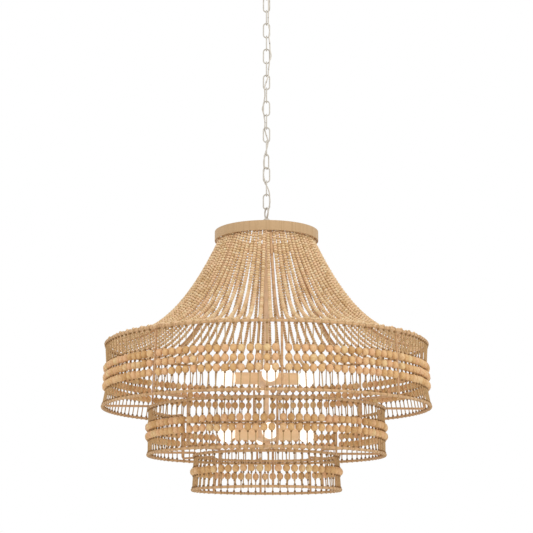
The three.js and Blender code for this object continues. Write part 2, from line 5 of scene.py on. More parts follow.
import bmesh
import bpy
from bpy.props import FloatProperty, FloatVectorProperty, IntProperty, PointerProperty
from mathutils import Matrix, Vector
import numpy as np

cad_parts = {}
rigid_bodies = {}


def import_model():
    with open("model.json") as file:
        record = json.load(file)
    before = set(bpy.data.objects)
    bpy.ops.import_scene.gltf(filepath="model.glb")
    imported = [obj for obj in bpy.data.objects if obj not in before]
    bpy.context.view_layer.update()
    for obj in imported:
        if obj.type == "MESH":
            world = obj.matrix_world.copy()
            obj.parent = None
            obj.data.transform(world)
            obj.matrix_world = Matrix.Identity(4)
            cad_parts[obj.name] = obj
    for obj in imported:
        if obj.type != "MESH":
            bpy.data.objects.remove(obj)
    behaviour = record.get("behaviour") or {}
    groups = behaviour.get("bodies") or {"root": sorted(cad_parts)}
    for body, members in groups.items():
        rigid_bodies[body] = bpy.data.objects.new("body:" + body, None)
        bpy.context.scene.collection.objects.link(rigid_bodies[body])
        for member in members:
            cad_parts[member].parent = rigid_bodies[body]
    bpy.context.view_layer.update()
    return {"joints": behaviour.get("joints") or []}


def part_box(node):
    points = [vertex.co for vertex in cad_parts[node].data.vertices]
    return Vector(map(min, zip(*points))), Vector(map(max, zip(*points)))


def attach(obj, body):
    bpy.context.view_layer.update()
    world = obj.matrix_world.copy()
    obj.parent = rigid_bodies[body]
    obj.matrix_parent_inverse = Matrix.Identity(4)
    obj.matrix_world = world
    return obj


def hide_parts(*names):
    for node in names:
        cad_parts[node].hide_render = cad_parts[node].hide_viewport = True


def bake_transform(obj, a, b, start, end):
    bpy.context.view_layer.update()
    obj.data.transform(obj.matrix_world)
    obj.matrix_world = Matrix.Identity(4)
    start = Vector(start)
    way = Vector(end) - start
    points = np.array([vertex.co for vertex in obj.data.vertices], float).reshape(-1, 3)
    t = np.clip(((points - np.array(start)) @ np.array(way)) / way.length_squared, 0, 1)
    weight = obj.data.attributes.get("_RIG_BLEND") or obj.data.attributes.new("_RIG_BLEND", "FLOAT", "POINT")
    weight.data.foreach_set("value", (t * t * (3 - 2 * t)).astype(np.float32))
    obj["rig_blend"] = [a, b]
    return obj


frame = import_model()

bl_info = {
    "name": "Beaded chandelier",
    "version": (1, 0, 0),
    "blender": (4, 5, 0),
    "location": "View3D > Sidebar > Chandelier",
    "description": "Dresses the frame of a three-tier chandelier strung with wooden beads",
    "category": "Object",
}

MM = 0.001
FIT_GAP = 0.0003
MERGE_GAP = 1e-6
UP = Vector((0, 0, 1))
SMOOTH_ANGLE = math.radians(38)


# Colours


def linear(code):
    """Turns an sRGB hex colour into the linear values that a socket takes."""
    shares = [int(code[i : i + 2], 16) / 255 for i in (1, 3, 5)]
    return tuple(
        share / 12.92 if share <= 0.04045 else ((share + 0.055) / 1.055) ** 2.4
        for share in shares
    )


def opaque(colour):
    return (*colour, 1)


# Settings


def length(name, description, default, low=0.0001):
    return FloatProperty(
        name=name, description=description, default=default, min=low, unit="LENGTH"
    )


def angle(name, description, degrees):
    return FloatProperty(
        name=name, description=description, default=math.radians(degrees), subtype="ANGLE"
    )


def colour(name, description, code):
    return FloatVectorProperty(
        name=name, description=description, default=linear(code), subtype="COLOR", size=3,
        min=0, max=1,
    )


class BodySizes(bpy.types.PropertyGroup):
    """Sizes of the strung body."""

    rib_count: IntProperty(
        name="Ribs", description="Bent rods that carry the three tiers", default=8, min=3
    )
    first_rib: angle("First rib", "Turn of the first rib round the stem", 5)
    hoop_radius: length("Hoop radius", "Outside of the top hoop", 0.146)
    hoop_wall: length("Hoop wall", "Thickness of the top hoop", 0.003)
    ring_wire: length("Ring wire", "Wound thickness of the six rings", 0.0078)
    rib_wire: length("Rib wire", "Wound thickness of the ribs", 0.0066)
    strip: length("Strip width", "Width of the strip wound round rings and ribs", 0.0036)
    hoop_strip: length("Hoop strip", "Width of the strip wound over the hoop", 0.0018)
    cord: length("String cord", "Thickness of the cord the large beads hang on", 0.0031)
    bell_cord: length("Bell cord", "Thickness of the cord in the bell's strands", 0.0016)
    knot: length("Knot", "Thickness of the knots between large beads", 0.0054)
    tie: length("Tie", "Thickness of the knots that tie the strings to the rings", 0.0062)
    lashing: length("Lashing", "Thickness of the turns tied round the rings", 0.0015)
    bead: length("Large bead", "Diameter of the beads on the tiers", 0.0199)
    bead_height: length("Bead height", "Height of the beads on the tiers", 0.0214)
    row_pitch: length("Row pitch", "Distance from one row of large beads to the next", 0.0244)
    small_bead: length("Small bead", "Diameter of the beads on the bell", 0.0106)
    small_pitch: length("Small bead pitch", "Length of each bead on the bell", 0.0089)
    bell_strands: IntProperty(
        name="Bell strands", description="Strands between two ribs of the bell", default=10
    )
    bell_space: angle("Bell space", "Angle that the strands leave open at a rib", 6.3)


class MetalSizes(bpy.types.PropertyGroup):
    """Sizes of the chain, the cord, the stem and the lamps."""

    link_wire: length("Link wire", "Wire of the chain links", 0.0038)
    link_length: length("Link length", "Inside length of a link", 0.0399)
    link_width: length("Link width", "Inside width of a link", 0.014)
    loop_wire: length("Loop wire", "Wire of the rings at the chain's ends", 0.004)
    canopy_ring: length("Canopy ring", "Bore of the ring under the canopy", 0.024)
    body_ring: length("Body ring", "Bore of the ring on the body", 0.026)
    ring_turn: angle("Ring turn", "Turn of the body's ring out of square to the chain", 18)
    supply_cord: length("Supply cord", "Thickness of the supply cord", 0.0038)
    stem: length("Stem", "Diameter of the stem tube", 0.0127)
    hub: length("Hub", "Diameter of the lamp hubs", 0.057)
    sleeve: length("Sleeve", "Diameter of the lamp sleeves", 0.033)
    sleeve_length: length("Sleeve length", "Length of the lamp sleeves", 0.058)
    globe: length("Globe", "Diameter of the bulbs", 0.045)


class Finishes(bpy.types.PropertyGroup):
    """Colours of the chandelier's finishes."""

    bead_dark: colour("Dark bead", "Darkest of the large beads", "#c69c66")
    bead_mid: colour("Mid bead", "Most of the large beads", "#d8b17b")
    bead_pink: colour("Pink bead", "Large beads of pinker wood", "#ddb185")
    bead_light: colour("Light bead", "Lightest of the large beads", "#dfc28f")
    small_dark: colour("Dark small bead", "Darkest of the small beads", "#ceac7c")
    small_mid: colour("Mid small bead", "Most of the small beads", "#e1c497")
    small_pink: colour("Pink small bead", "Small beads of pinker wood", "#e6c29a")
    small_light: colour("Light small bead", "Lightest of the small beads", "#ead5ac")
    # Painted shade: the colour that each bead's ends darken towards, in the notch where it meets the next
    # bead
    hole: colour("Bead hole", "Singed wood round the holes", "#8a6238")
    strip: colour("Strip", "Wound strip on the rings", "#c9a276")
    strip_dark: colour("Strip edge", "Darker fibres of the strip on the rings", "#986b3f")
    rib_strip: colour("Rib strip", "Wound strip on the ribs", "#c69e74")
    rib_dark: colour("Rib strip edge", "Darker fibres of the strip on the ribs", "#98693c")
    band: colour("Band", "Wound strip on the hoop", "#bd9d75")
    band_dark: colour("Band edge", "Darker fibres of the strip on the hoop", "#a8875d")
    string: colour("String", "Waxed cord between the beads", "#bb9b6e")
    knot: colour("Knot", "Knots in the cord, dark with wax", "#8a693f")
    paint: colour("Paint", "Paint on the chain and canopy", "#c6c1b8")
    paint_worn: colour("Worn paint", "Brushed-back paint on edges", "#928b80")
    stem: colour("Stem paint", "Paint on the stem and hubs", "#e8c6a2")
    sleeve: colour("Sleeve", "Card sleeves over the lamp holders", "#efcb9f")
    jacket: colour("Jacket", "Jacket of the supply cord", "#d2ccc2")
    bulb: colour("Bulb", "Opal glass of the bulbs", "#fffaf2")
    steel: colour("Steel", "Plated steel of the bracket and spider", "#b9b2a8")
    brass: colour("Brass", "Shell of the bulbs' bases", "#c8ae74")


# Meshes


def as_piece(name, mesh, finish, body, replaced=(), sharp=False):
    """Links a finished mesh and says what it rides on, stands for and is made of."""
    piece = bpy.data.objects.new(name, mesh)
    bpy.context.scene.collection.objects.link(piece)
    mesh.materials.clear()
    mesh.materials.append(MATERIALS[finish])
    mesh.shade_smooth()
    if sharp:
        mesh.set_sharp_from_angle(angle=SMOOTH_ANGLE)
    if body:
        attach(piece, body)
    if replaced:
        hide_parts(*replaced)
    return piece


def to_mesh(bm, name):
    mesh = bpy.data.meshes.new(name)
    bm.to_mesh(mesh)
    bm.free()
    return mesh


def turned(profile, steps, closed=False):
    """Turns a profile of (radius, height) pairs round Z into a closed body."""
    bm = bmesh.new()
    corners = [bm.verts.new((radius, 0, height)) for radius, height in profile]
    edges = [bm.edges.new(pair) for pair in zip(corners, corners[1:])]
    if closed:
        edges.append(bm.edges.new((corners[-1], corners[0])))
    bmesh.ops.spin(
        bm, geom=corners + edges, cent=(0, 0, 0), axis=UP, dvec=(0, 0, 0),
        angle=2 * math.pi, steps=steps, use_merge=True, use_duplicate=False,
    )
    bmesh.ops.remove_doubles(bm, verts=bm.verts, dist=MERGE_GAP)
    bmesh.ops.recalc_face_normals(bm, faces=bm.faces)
    return bm


def rounded(corners, radius, steps=3, most_share=0.45):
    """Rounds the inner corners of an open profile, as far as its sides allow."""
    points = [Vector(corner) for corner in corners]
    outline = [points[0]]
    for before, corner, after in zip(points, points[1:], points[2:]):
        into, out = before - corner, after - corner
        reach = min(radius, into.length * most_share, out.length * most_share)
        start = corner + into.normalized() * reach
        end = corner + out.normalized() * reach
        for i in range(steps + 1):
            share = i / steps
            outline.append(start.lerp(corner, share).lerp(corner.lerp(end, share), share))
    outline.append(points[-1])
    return [tuple(point) for point in outline]


def tube(name, runs, thickness, sides=8, closed=False, turns=None):
    """A mesh of round wires. Each run is a list of (place, share of the radius).

    With turns, each pair of sections gets a value of its own in the attribute turn,
    which the wound strip's material reads.
    """
    curve = bpy.data.curves.new(name, "CURVE")
    curve.dimensions = "3D"
    curve.bevel_depth = thickness / 2
    curve.bevel_resolution = sides // 2 - 2
    curve.use_fill_caps = not closed
    for run in runs:
        spline = curve.splines.new("POLY")
        spline.points.add(len(run) - 1)
        for point, (place, share) in zip(spline.points, run):
            point.co = (*place, 1)
            point.radius = share
        spline.use_cyclic_u = closed
    holder = bpy.data.objects.new(name, curve)
    bpy.context.scene.collection.objects.link(holder)
    shaped = holder.evaluated_get(bpy.context.evaluated_depsgraph_get())
    mesh = bpy.data.meshes.new_from_object(shaped)
    bpy.data.objects.remove(holder)
    bpy.data.curves.remove(curve)
    if turns is not None:
        picks = random.Random(turns)
        sections = len(mesh.vertices) // sides
        tones = [picks.random() for _ in range(sections // 2 + 1)]
        values = [tones[(i // sides + 1) // 2] for i in range(len(mesh.vertices))]
        attribute = mesh.attributes.new("turn", "FLOAT", "POINT")
        attribute.data.foreach_set("value", values)
    return mesh


def at_angle(radius, angle, height):
    """The place at a radius and height, turned round the stem."""
    return Vector((radius * math.cos(angle), radius * math.sin(angle), height))


def middle_height(node):
    low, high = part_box(node)
    return (low.z + high.z) / 2


def line_length(points):
    return sum((b - a).length for a, b in zip(points, points[1:]))


def add_copy(bm, template, place):
    """Adds a placed copy of a mesh, and gives its corners and its layer of tones."""
    count = len(bm.verts)
    bm.from_mesh(template)
    bm.verts.ensure_lookup_table()
    fresh = bm.verts[count:]
    bmesh.ops.transform(bm, matrix=place, verts=fresh)
    return fresh, bm.verts.layers.float["tone"]


def moved(copies, beads, seed):
    """Joins copies (template, place) and gives each of their beads a tone of its own."""
    picks = random.Random(seed)
    bm = bmesh.new()
    for template, place in copies:
        fresh, layer = add_copy(bm, template, place)
        tones = [picks.random() for _ in range(beads)]
        for vert in fresh:
            vert[layer] = tones[round(vert[layer])]
    return bm


def bead_mesh(diameter, hole, arcs, steps, stretch, dish_share=0.35):
    """A turned bead with a dished hole at each end, and how near its faces are to a hole."""
    radius = diameter / 2
    edge = math.asin(hole / radius)
    dish = radius * math.cos(edge) - dish_share * hole
    profile = [(0, dish)]
    for i in range(arcs + 1):
        angle = edge + (math.pi - 2 * edge) * i / arcs
        profile.append((radius * math.sin(angle), radius * math.cos(angle)))
    profile.append((0, -dish))
    bm = turned(profile, steps)
    near_hole = bm.verts.layers.float.new("near_hole")
    bm.verts.layers.float.new("tone")
    for vert in bm.verts:
        vert[near_hole] = abs(vert.co.z) / radius
        vert.co.z *= stretch
    return to_mesh(bm, "bead")


def strung(template, places):
    """One string of beads: the tone of each bead holds its number for now."""
    bm = bmesh.new()
    for number, place in enumerate(places):
        fresh, layer = add_copy(bm, template, place)
        for vert in fresh:
            vert[layer] = number
    return to_mesh(bm, "string")


# Materials


def fill(tree, node, **inputs):
    """Fills or links a node's sockets."""
    for key, value in inputs.items():
        socket = node.inputs[key.replace("_", " ")]
        if isinstance(value, bpy.types.NodeSocket):
            tree.links.new(value, socket)
        else:
            socket.default_value = value


def add_node(tree, kind, settings=(), **inputs):
    """Adds a node with its settings, and fills or links its sockets."""
    node = tree.nodes.new(kind)
    for key, value in dict(settings).items():
        if key == "stops":
            ramp = node.color_ramp
            while len(ramp.elements) < len(value):
                ramp.elements.new(1)
            for element, (position, shade) in zip(ramp.elements, value):
                element.position = position
                element.color = opaque(shade)
        else:
            setattr(node, key, value)
    fill(tree, node, **inputs)
    return node


def blank(name):
    material = bpy.data.materials.new(name)
    material.use_nodes = True
    tree = material.node_tree
    tree.nodes.clear()
    shader = add_node(tree, "ShaderNodeBsdfPrincipled")
    add_node(tree, "ShaderNodeOutputMaterial", Surface=shader.outputs[0])
    return material, tree, shader


def turned_wood(name, tones, hole, grain, hole_shade_from, hole_shade_share):
    """Beads of unvarnished beech, turned and tumbled: silky, pale to pinkish, no gloss.

    Each bead has a tone of its own and bands of grain, and painted shade darkens its ends
    round the holes, in the notch where it meets the next bead. The bands are drawn far
    coarser than beech's fine grain, which wouldn't show.
    """
    material, tree, shader = blank(name)
    place = add_node(tree, "ShaderNodeTexCoord").outputs["Object"]
    tone = add_node(tree, "ShaderNodeAttribute", {"attribute_name": "tone"})
    shade = add_node(
        tree, "ShaderNodeValToRGB", {"stops": list(zip((0.0, 0.3, 0.68, 1.0), tones))},
        Fac=tone.outputs["Fac"],
    )
    warp = add_node(tree, "ShaderNodeTexNoise", Vector=place, Scale=0.3 / grain, Detail=2.0)
    rings = add_node(
        tree, "ShaderNodeTexWave", {"wave_type": "BANDS", "bands_direction": "DIAGONAL"},
        Vector=place, Scale=0.05 / grain, Distortion=9.0, Detail=2.0, Detail_Scale=1.4,
    )
    grain_share = add_node(
        tree, "ShaderNodeMath", {"operation": "MULTIPLY"}, Value=rings.outputs["Fac"]
    )
    tree.links.new(warp.outputs["Fac"], grain_share.inputs[1])
    fibre = add_node(
        tree, "ShaderNodeValToRGB",
        {"stops": [(0.1, (1, 1, 1)), (0.62, linear("#c9a27c"))]},
        Fac=grain_share.outputs[0],
    )
    grained = add_node(
        tree, "ShaderNodeMixRGB", {"blend_type": "MULTIPLY"}, Fac=0.34,
        Color1=shade.outputs["Color"], Color2=fibre.outputs["Color"],
    )
    # Painted shade: the ends round the holes, where each bead meets the next, blend towards the hole colour
    near = add_node(tree, "ShaderNodeAttribute", {"attribute_name": "near_hole"})
    edge = add_node(
        tree, "ShaderNodeMapRange", {"interpolation_type": "SMOOTHSTEP"},
        Value=near.outputs["Fac"], From_Min=hole_shade_from, From_Max=1.0, To_Min=0.0,
        To_Max=hole_shade_share,
    )
    hole_shade_mix = add_node(
        tree, "ShaderNodeMixRGB", Fac=edge.outputs[0], Color1=grained.outputs["Color"],
        Color2=opaque(hole),
    )
    bump = add_node(
        tree, "ShaderNodeBump", Strength=0.25, Distance=0.0002, Height=rings.outputs["Fac"]
    )
    fill(
        tree, shader, Base_Color=hole_shade_mix.outputs["Color"], Normal=bump.outputs["Normal"],
        Roughness=0.58, IOR=1.45,
    )
    return material


def wound_strip(name, light, dark, fibre):
    """Plant-fibre strip wound tight over steel: dry and matt, with darker fibres.

    Every turn has its own tone. Its streaks are drawn coarser than real fibres, which
    wouldn't show.
    """
    material, tree, shader = blank(name)
    place = add_node(tree, "ShaderNodeTexCoord").outputs["Object"]
    turn = add_node(tree, "ShaderNodeAttribute", {"attribute_name": "turn"})
    streaks = add_node(
        tree, "ShaderNodeTexNoise", Vector=place, Scale=0.5 / fibre, Detail=3.0,
        Roughness=0.65,
    )
    both = add_node(
        tree, "ShaderNodeMath", {"operation": "MULTIPLY_ADD"}, Value=streaks.outputs["Fac"]
    )
    both.inputs[1].default_value = 0.9
    tree.links.new(turn.outputs["Fac"], both.inputs[2])
    share = add_node(
        tree, "ShaderNodeMapRange", Value=both.outputs[0], From_Min=0.25, From_Max=1.45,
    )
    shade = add_node(
        tree, "ShaderNodeValToRGB", {"stops": [(0.0, dark), (0.45, light), (1.0, light)]},
        Fac=share.outputs[0],
    )
    bump = add_node(
        tree, "ShaderNodeBump", Strength=0.35, Distance=0.0003, Height=streaks.outputs["Fac"]
    )
    fill(
        tree, shader, Base_Color=shade.outputs["Color"], Normal=bump.outputs["Normal"],
        Roughness=0.72, Sheen_Weight=0.15,
    )
    return material


def plain_finish(
    name, main, worn, patch, roughness, metallic=0.0, worn_share=0.35, bump=0.2, spread=0.06
):
    """A finish with soft patches of a second tone and a fine uneven surface.

    The unevenness is drawn at about 1.7 mm, coarser than it is, so that it shows.
    """
    material, tree, shader = blank(name)
    place = add_node(tree, "ShaderNodeTexCoord").outputs["Object"]
    cloud = add_node(
        tree, "ShaderNodeTexNoise", Vector=place, Scale=1 / patch, Detail=4.0, Roughness=0.6
    )
    share = add_node(
        tree, "ShaderNodeMapRange", Value=cloud.outputs["Fac"], From_Min=0.4,
        From_Max=0.75, To_Min=0.0, To_Max=worn_share,
    )
    shade = add_node(
        tree, "ShaderNodeMixRGB", Fac=share.outputs[0], Color1=opaque(main),
        Color2=opaque(worn),
    )
    rough = add_node(
        tree, "ShaderNodeMapRange", Value=cloud.outputs["Fac"], From_Min=0.3, From_Max=0.7,
        To_Min=roughness - spread, To_Max=roughness + spread,
    )
    peel = add_node(
        tree, "ShaderNodeTexNoise", Vector=place, Scale=0.6 / MM, Detail=2.0
    )
    relief = add_node(
        tree, "ShaderNodeBump", Strength=bump, Distance=0.0001, Height=peel.outputs["Fac"]
    )
    fill(
        tree, shader, Base_Color=shade.outputs["Color"], Roughness=rough.outputs[0],
        Normal=relief.outputs["Normal"], Metallic=metallic,
    )
    return material


def opal_glass(name, tint):
    """Opal glass of a small globe bulb: white through and softly lit from inside."""
    material, tree, shader = blank(name)
    place = add_node(tree, "ShaderNodeTexCoord").outputs["Object"]
    cloud = add_node(tree, "ShaderNodeTexNoise", Vector=place, Scale=0.05 / MM, Detail=2.0)
    shade = add_node(
        tree, "ShaderNodeMixRGB", Fac=cloud.outputs["Fac"], Color1=opaque(tint),
        Color2=opaque(linear("#f6ece0")),
    )
    fill(
        tree, shader, Base_Color=shade.outputs["Color"], Roughness=0.22, IOR=1.5,
        Emission_Color=opaque(tint), Emission_Strength=0.62,
    )
    return material


MATERIALS = {}


def make_materials():
    look = bpy.context.scene.chandelier_finishes
    large = [look.bead_dark, look.bead_mid, look.bead_pink, look.bead_light]
    small = [look.small_dark, look.small_mid, look.small_pink, look.small_light]
    MATERIALS.update(
        # The hole colour and the last two numbers set the painted shade in the notches between beads
        beads=turned_wood(
            "Unvarnished beech, large beads", large, look.hole, 1.1 * MM, 0.8, 0.85
        ),
        small_beads=turned_wood(
            "Unvarnished beech, small beads", small, look.hole, 0.8 * MM, 0.5, 0.55
        ),
        strip=wound_strip("Wound plant fibre, rings", look.strip, look.strip_dark, MM),
        rib=wound_strip("Wound plant fibre, ribs", look.rib_strip, look.rib_dark, MM),
        band=wound_strip("Wound plant fibre, hoop", look.band, look.band_dark, MM),
        # Twisted cotton drawn through wax: matt and a little rough, darker in its hollows
        string=plain_finish(
            "Waxed cotton cord", look.string, look.strip_dark, 5 * MM, 0.8, bump=0.5
        ),
        knot=plain_finish(
            "Waxed cotton knots", look.knot, look.strip_dark, 5 * MM, 0.8, bump=0.5
        ),
        # Brushed enamel: off-white and satin, greyer where the brush wore it back
        paint=plain_finish(
            "Brushed enamel on steel", look.paint, look.paint_worn, 6 * MM, 0.42,
            worn_share=0.45,
        ),
        # Sprayed enamel in the wood's colour: smooth and satin, with faint clouds
        stem=plain_finish("Enamel on steel tube", look.stem, look.paint_worn, 20 * MM, 0.4),
        # Rolled card: warm, dry and faintly mottled
        sleeve=plain_finish("Card tube", look.sleeve, look.stem, 12 * MM, 0.65, bump=0.3),
        # Moulded plastic: even, with a dull sheen
        jacket=plain_finish("PVC cord jacket", look.jacket, look.paint_worn, 30 * MM, 0.5),
        # Zinc plate: grey metal with soft cloudy reflections
        steel=plain_finish(
            "Zinc-plated steel", look.steel, look.paint_worn, 15 * MM, 0.35, metallic=1.0
        ),
        # Drawn brass: pale yellow metal, a little brighter than the bracket
        brass=plain_finish(
            "Nickel brass lamp shell", look.brass, look.steel, 8 * MM, 0.3, metallic=1.0
        ),
        bulb=opal_glass("Opal lamp glass", look.bulb),
    )


# The strung body

BELL_AT_HOOP, BELL_AT_RING = (0.104, -0.231), (-0.112, 0.008)
COLLAR_HALF = 0.005


def tiers():
    """The three tiers: rings, rows and strings between two ribs."""
    # Name, radii of the rings, strings in a bay, angle left open at a rib, place of the
    # first row, rows, and how far inside the wall the beads hang. Millimetres and degrees.
    shapes = [
        ("tier_1", 443, 448.5, 16, 4.2, 66.6, 3, 5.2),
        ("tier_2", 323, 323, 12, 5, 51.4, 2, 0),
        ("tier_3", 197.5, 201, 7, 7.5, 44.1, 1, 0),
    ]
    made = []
    for name, top_radius, foot_radius, strings, space, first_row, rows, inset in shapes:
        top = middle_height(name + "_top_ring")
        foot = middle_height(name + "_foot_ring")
        made.append(
            {
                "name": name, "top": top, "foot": foot,
                "top_radius": top_radius * MM, "foot_radius": foot_radius * MM,
                "strings": strings, "space": math.radians(space),
                "first_row": first_row * MM, "rows": rows, "inset": inset * MM,
            }
        )
    return made


def string_angles(count, space):
    """Angles of the strings between the ribs, the same in every bay."""
    sizes = bpy.context.scene.chandelier_body
    bay = 2 * math.pi / sizes.rib_count
    angles = []
    for b in range(sizes.rib_count):
        for s in range(count):
            share = s / (count - 1)
            angles.append(sizes.first_rib + b * bay + space / 2 + share * (bay - space))
    return angles


def wall_radius(tier, down):
    share = down / (tier["top"] - tier["foot"])
    return tier["top_radius"] + (tier["foot_radius"] - tier["top_radius"]) * share


def bell_curve(start, end, count, fineness=400):
    """Points down the bell from the hoop to the first tier's top ring, evenly spaced."""
    leave, arrive = start + Vector(BELL_AT_HOOP), end + Vector(BELL_AT_RING)
    fine = []
    for i in range(fineness + 1):
        t = i / fineness
        fine.append(
            start * (1 - t) ** 3
            + leave * 3 * t * (1 - t) ** 2
            + arrive * 3 * t * t * (1 - t)
            + end * t**3
        )
    return even(fine, count)


def even(points, count):
    """Places evenly spaced along a line of points, ends included."""
    steps = [(b - a).length for a, b in zip(points, points[1:])]
    whole = sum(steps)
    places, walked, i = [], 0, 0
    for n in range(count):
        goal = whole * n / (count - 1)
        while i < len(steps) - 1 and walked + steps[i] < goal:
            walked += steps[i]
            i += 1
        share = (goal - walked) / steps[i] if steps[i] else 0
        places.append(points[i].lerp(points[i + 1], min(share, 1)))
    return places


class CHANDELIER_OT_rings(bpy.types.Operator):
    """Six rings of wire wound with plant-fibre strip"""

    bl_idname = "chandelier.rings"
    bl_label = "Wound rings"

    def execute(self, context):
        sizes = context.scene.chandelier_body
        groove_share = 0.88
        for number, tier in enumerate(tiers()):
            for end in ("top", "foot"):
                radius, height = tier[end + "_radius"], tier[end]
                turns = round(2 * math.pi * radius / sizes.strip)
                run = []
                for i in range(2 * turns):
                    place = at_angle(radius, math.pi * i / turns, height)
                    run.append((place, 1 if i % 2 else groove_share))
                node = f"{tier['name']}_{end}_ring"
                mesh = tube(node, [run], sizes.ring_wire, closed=True, turns=number)
                as_piece(node + "_wound", mesh, "strip", "body", [node])
        return {"FINISHED"}


class CHANDELIER_OT_ribs(bpy.types.Operator):
    """Eight bent rods wound with plant-fibre strip"""

    bl_idname = "chandelier.ribs"
    bl_label = "Wound ribs"

    def arc(self, middle, radius, start, end, steps=8):
        angles = [start + (end - start) * i / steps for i in range(steps + 1)]
        return [middle + radius * Vector((math.cos(a), math.sin(a))) for a in angles]

    def outline(self, sizes):
        """One rib in its own plane, from inside the hoop to the third tier's foot."""
        first, second, third = tiers()
        inset = sizes.ring_wire / 2 + FIT_GAP + sizes.rib_wire / 2
        bend, drawn_in, head_share = 0.008, 0.0085, 0.8
        low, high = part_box("top_hoop")
        head = sizes.hoop_radius - sizes.hoop_wall - FIT_GAP - sizes.rib_wire / 2
        slope = math.atan2(BELL_AT_RING[1], -BELL_AT_RING[0])
        shoulder = Vector((first["top_radius"] - inset - bend, first["top"]))
        over = self.arc(shoulder, bend, math.pi / 2 - slope, 0)
        line = [Vector((head, low.z + head_share * (high.z - low.z)))]
        line += bell_curve(Vector((head - drawn_in, low.z)), over[0], 120)
        line += over[1:]
        for tier, following in ((first, second), (second, third)):
            spoke = following["top"] + inset
            foot = tier["foot_radius"] - inset
            line += self.arc(Vector((foot - bend, spoke + bend)), bend, 0, -math.pi / 2)
            hook = Vector((following["top_radius"], following["top"]))
            line += self.arc(hook, inset, math.pi / 2, math.pi)
        line.append(Vector((third["foot_radius"] - inset, third["foot"])))
        return line

    def execute(self, context):
        sizes = context.scene.chandelier_body
        line = self.outline(sizes)
        turns = round(line_length(line) / sizes.strip)
        places = even(line, 2 * turns)
        ring = tiers()[0]["top"]
        groove_share, thicker_share, thicker_over = 0.87, 0.35, 0.05
        for i in range(sizes.rib_count):
            angle = sizes.first_rib + i * 2 * math.pi / sizes.rib_count
            run = []
            for n, place in enumerate(places):
                share = 1 + thicker_share * min(max((place.y - ring) / thicker_over, 0), 1)
                share *= 1 if n % 2 else groove_share
                run.append((at_angle(place.x, angle, place.y), share))
            node = f"rib_{i + 1}"
            mesh = tube(node, [run], sizes.rib_wire, turns=20 + i)
            as_piece(node + "_wound", mesh, "rib", "body", [node])
        return {"FINISHED"}


class CHANDELIER_OT_tier_strings(bpy.types.Operator):
    """Strings of large beads on each tier, with knots between them"""

    bl_idname = "chandelier.tier_strings"
    bl_label = "Tier strings"

    def execute(self, context):
        sizes = context.scene.chandelier_body
        hole, kinds, stray, lean_most = 1.5 * MM, 7, 0.0007, 6
        bead = bead_mesh(sizes.bead, hole, 5, 10, sizes.bead_height / sizes.bead)
        for number, tier in enumerate(tiers()):
            picks = random.Random(100 + number)
            name, node = tier["name"], tier["name"] + "_bead_strings"
            downs = [
                tier["first_row"] + row * sizes.row_pitch for row in range(tier["rows"])
            ]
            radii = [wall_radius(tier, down) - tier["inset"] for down in downs]
            templates = []
            for _ in range(kinds):
                lies = []
                for radius, down in zip(radii, downs):
                    lean = [
                        math.radians(picks.uniform(-lean_most, lean_most)) for _ in range(2)
                    ]
                    wide, tall = picks.uniform(0.93, 1.03), picks.uniform(0.93, 1.03)
                    lies.append(
                        Matrix.Translation((radius, 0, tier["top"] - down))
                        @ Matrix.Rotation(lean[0], 4, "X")
                        @ Matrix.Rotation(lean[1], 4, "Y")
                        @ Matrix.Diagonal((wide, wide, tall, 1))
                    )
                templates.append(strung(bead, lies))
            copies, cords, knots, lashings = [], [], [], []
            for angle in string_angles(tier["strings"], tier["space"]):
                turn = angle + picks.uniform(-1, 1) * stray / tier["top_radius"]
                drop = picks.uniform(-1, 1) * stray
                lie = Matrix.Translation((0, 0, drop)) @ Matrix.Rotation(turn, 4, "Z")
                copies.append((picks.choice(templates), lie))
                cord, tied = self.cord(sizes, tier, turn, drop, downs, radii)
                cords.append(cord)
                knots += tied
                for end in ("top", "foot"):
                    lashings += self.lashing(sizes, tier, end, turn)
            beads = to_mesh(moved(copies, len(downs), 200 + number), name)
            as_piece(name + "_beads", beads, "beads", "body", [node])
            strings = tube(name, cords, sizes.cord, sides=6)
            as_piece(name + "_strings", strings, "string", "body", [node])
            tied = tube(name, knots, sizes.knot, sides=6)
            as_piece(name + "_knots", tied, "knot", "body", [node])
            tied = tube(name, lashings, sizes.lashing, sides=6, closed=True)
            as_piece(name + "_lashings", tied, "string", "body", [node])
        return {"FINISHED"}

    def cord(self, sizes, tier, angle, drop, downs, radii):
        """The cord of one string, and its knots by the beads and by the rings."""
        half, ring, top = sizes.bead_height / 2, sizes.ring_wire / 2, tier["top"]
        off_ring, off_bead, tall, full = 0.0018, 0.0012, 0.0024, 0.001
        knot_shape = ((tall, 0.5), (full, 1), (-full, 1), (-tall, 0.5))
        spots = [(tier["top_radius"], top - ring - off_ring, sizes.tie)]
        spots.append((radii[0], top - downs[0] + half + off_bead + drop, sizes.knot))
        for radius, down in zip(radii, downs[1:]):
            spots.append((radius, top - down + sizes.row_pitch / 2 + drop, sizes.knot))
        spots.append((radii[-1], top - downs[-1] - half - off_bead + drop, sizes.knot))
        spots.append((tier["foot_radius"], tier["foot"] + ring + off_ring, sizes.tie))
        run, knots = [], []
        for radius, height, thickness in spots:
            share = thickness / sizes.knot
            run.append((at_angle(radius, angle, height), 1))
            knots.append(
                [
                    (at_angle(radius, angle, height + up), share * width)
                    for up, width in knot_shape
                ]
            )
        return run, knots

    def lashing(self, sizes, tier, end, angle, steps=8):
        """Two turns of cord round a ring where a string is tied on."""
        radius = sizes.ring_wire / 2 + sizes.lashing / 4
        loops = []
        for side in (-1, 1):
            turn = angle + side * 0.5 * sizes.lashing / tier[end + "_radius"]
            loop = []
            for i in range(steps):
                a = 2 * math.pi * i / steps
                out = tier[end + "_radius"] + radius * math.cos(a)
                loop.append((at_angle(out, turn, tier[end] + radius * math.sin(a)), 1))
            loops.append(loop)
        return loops


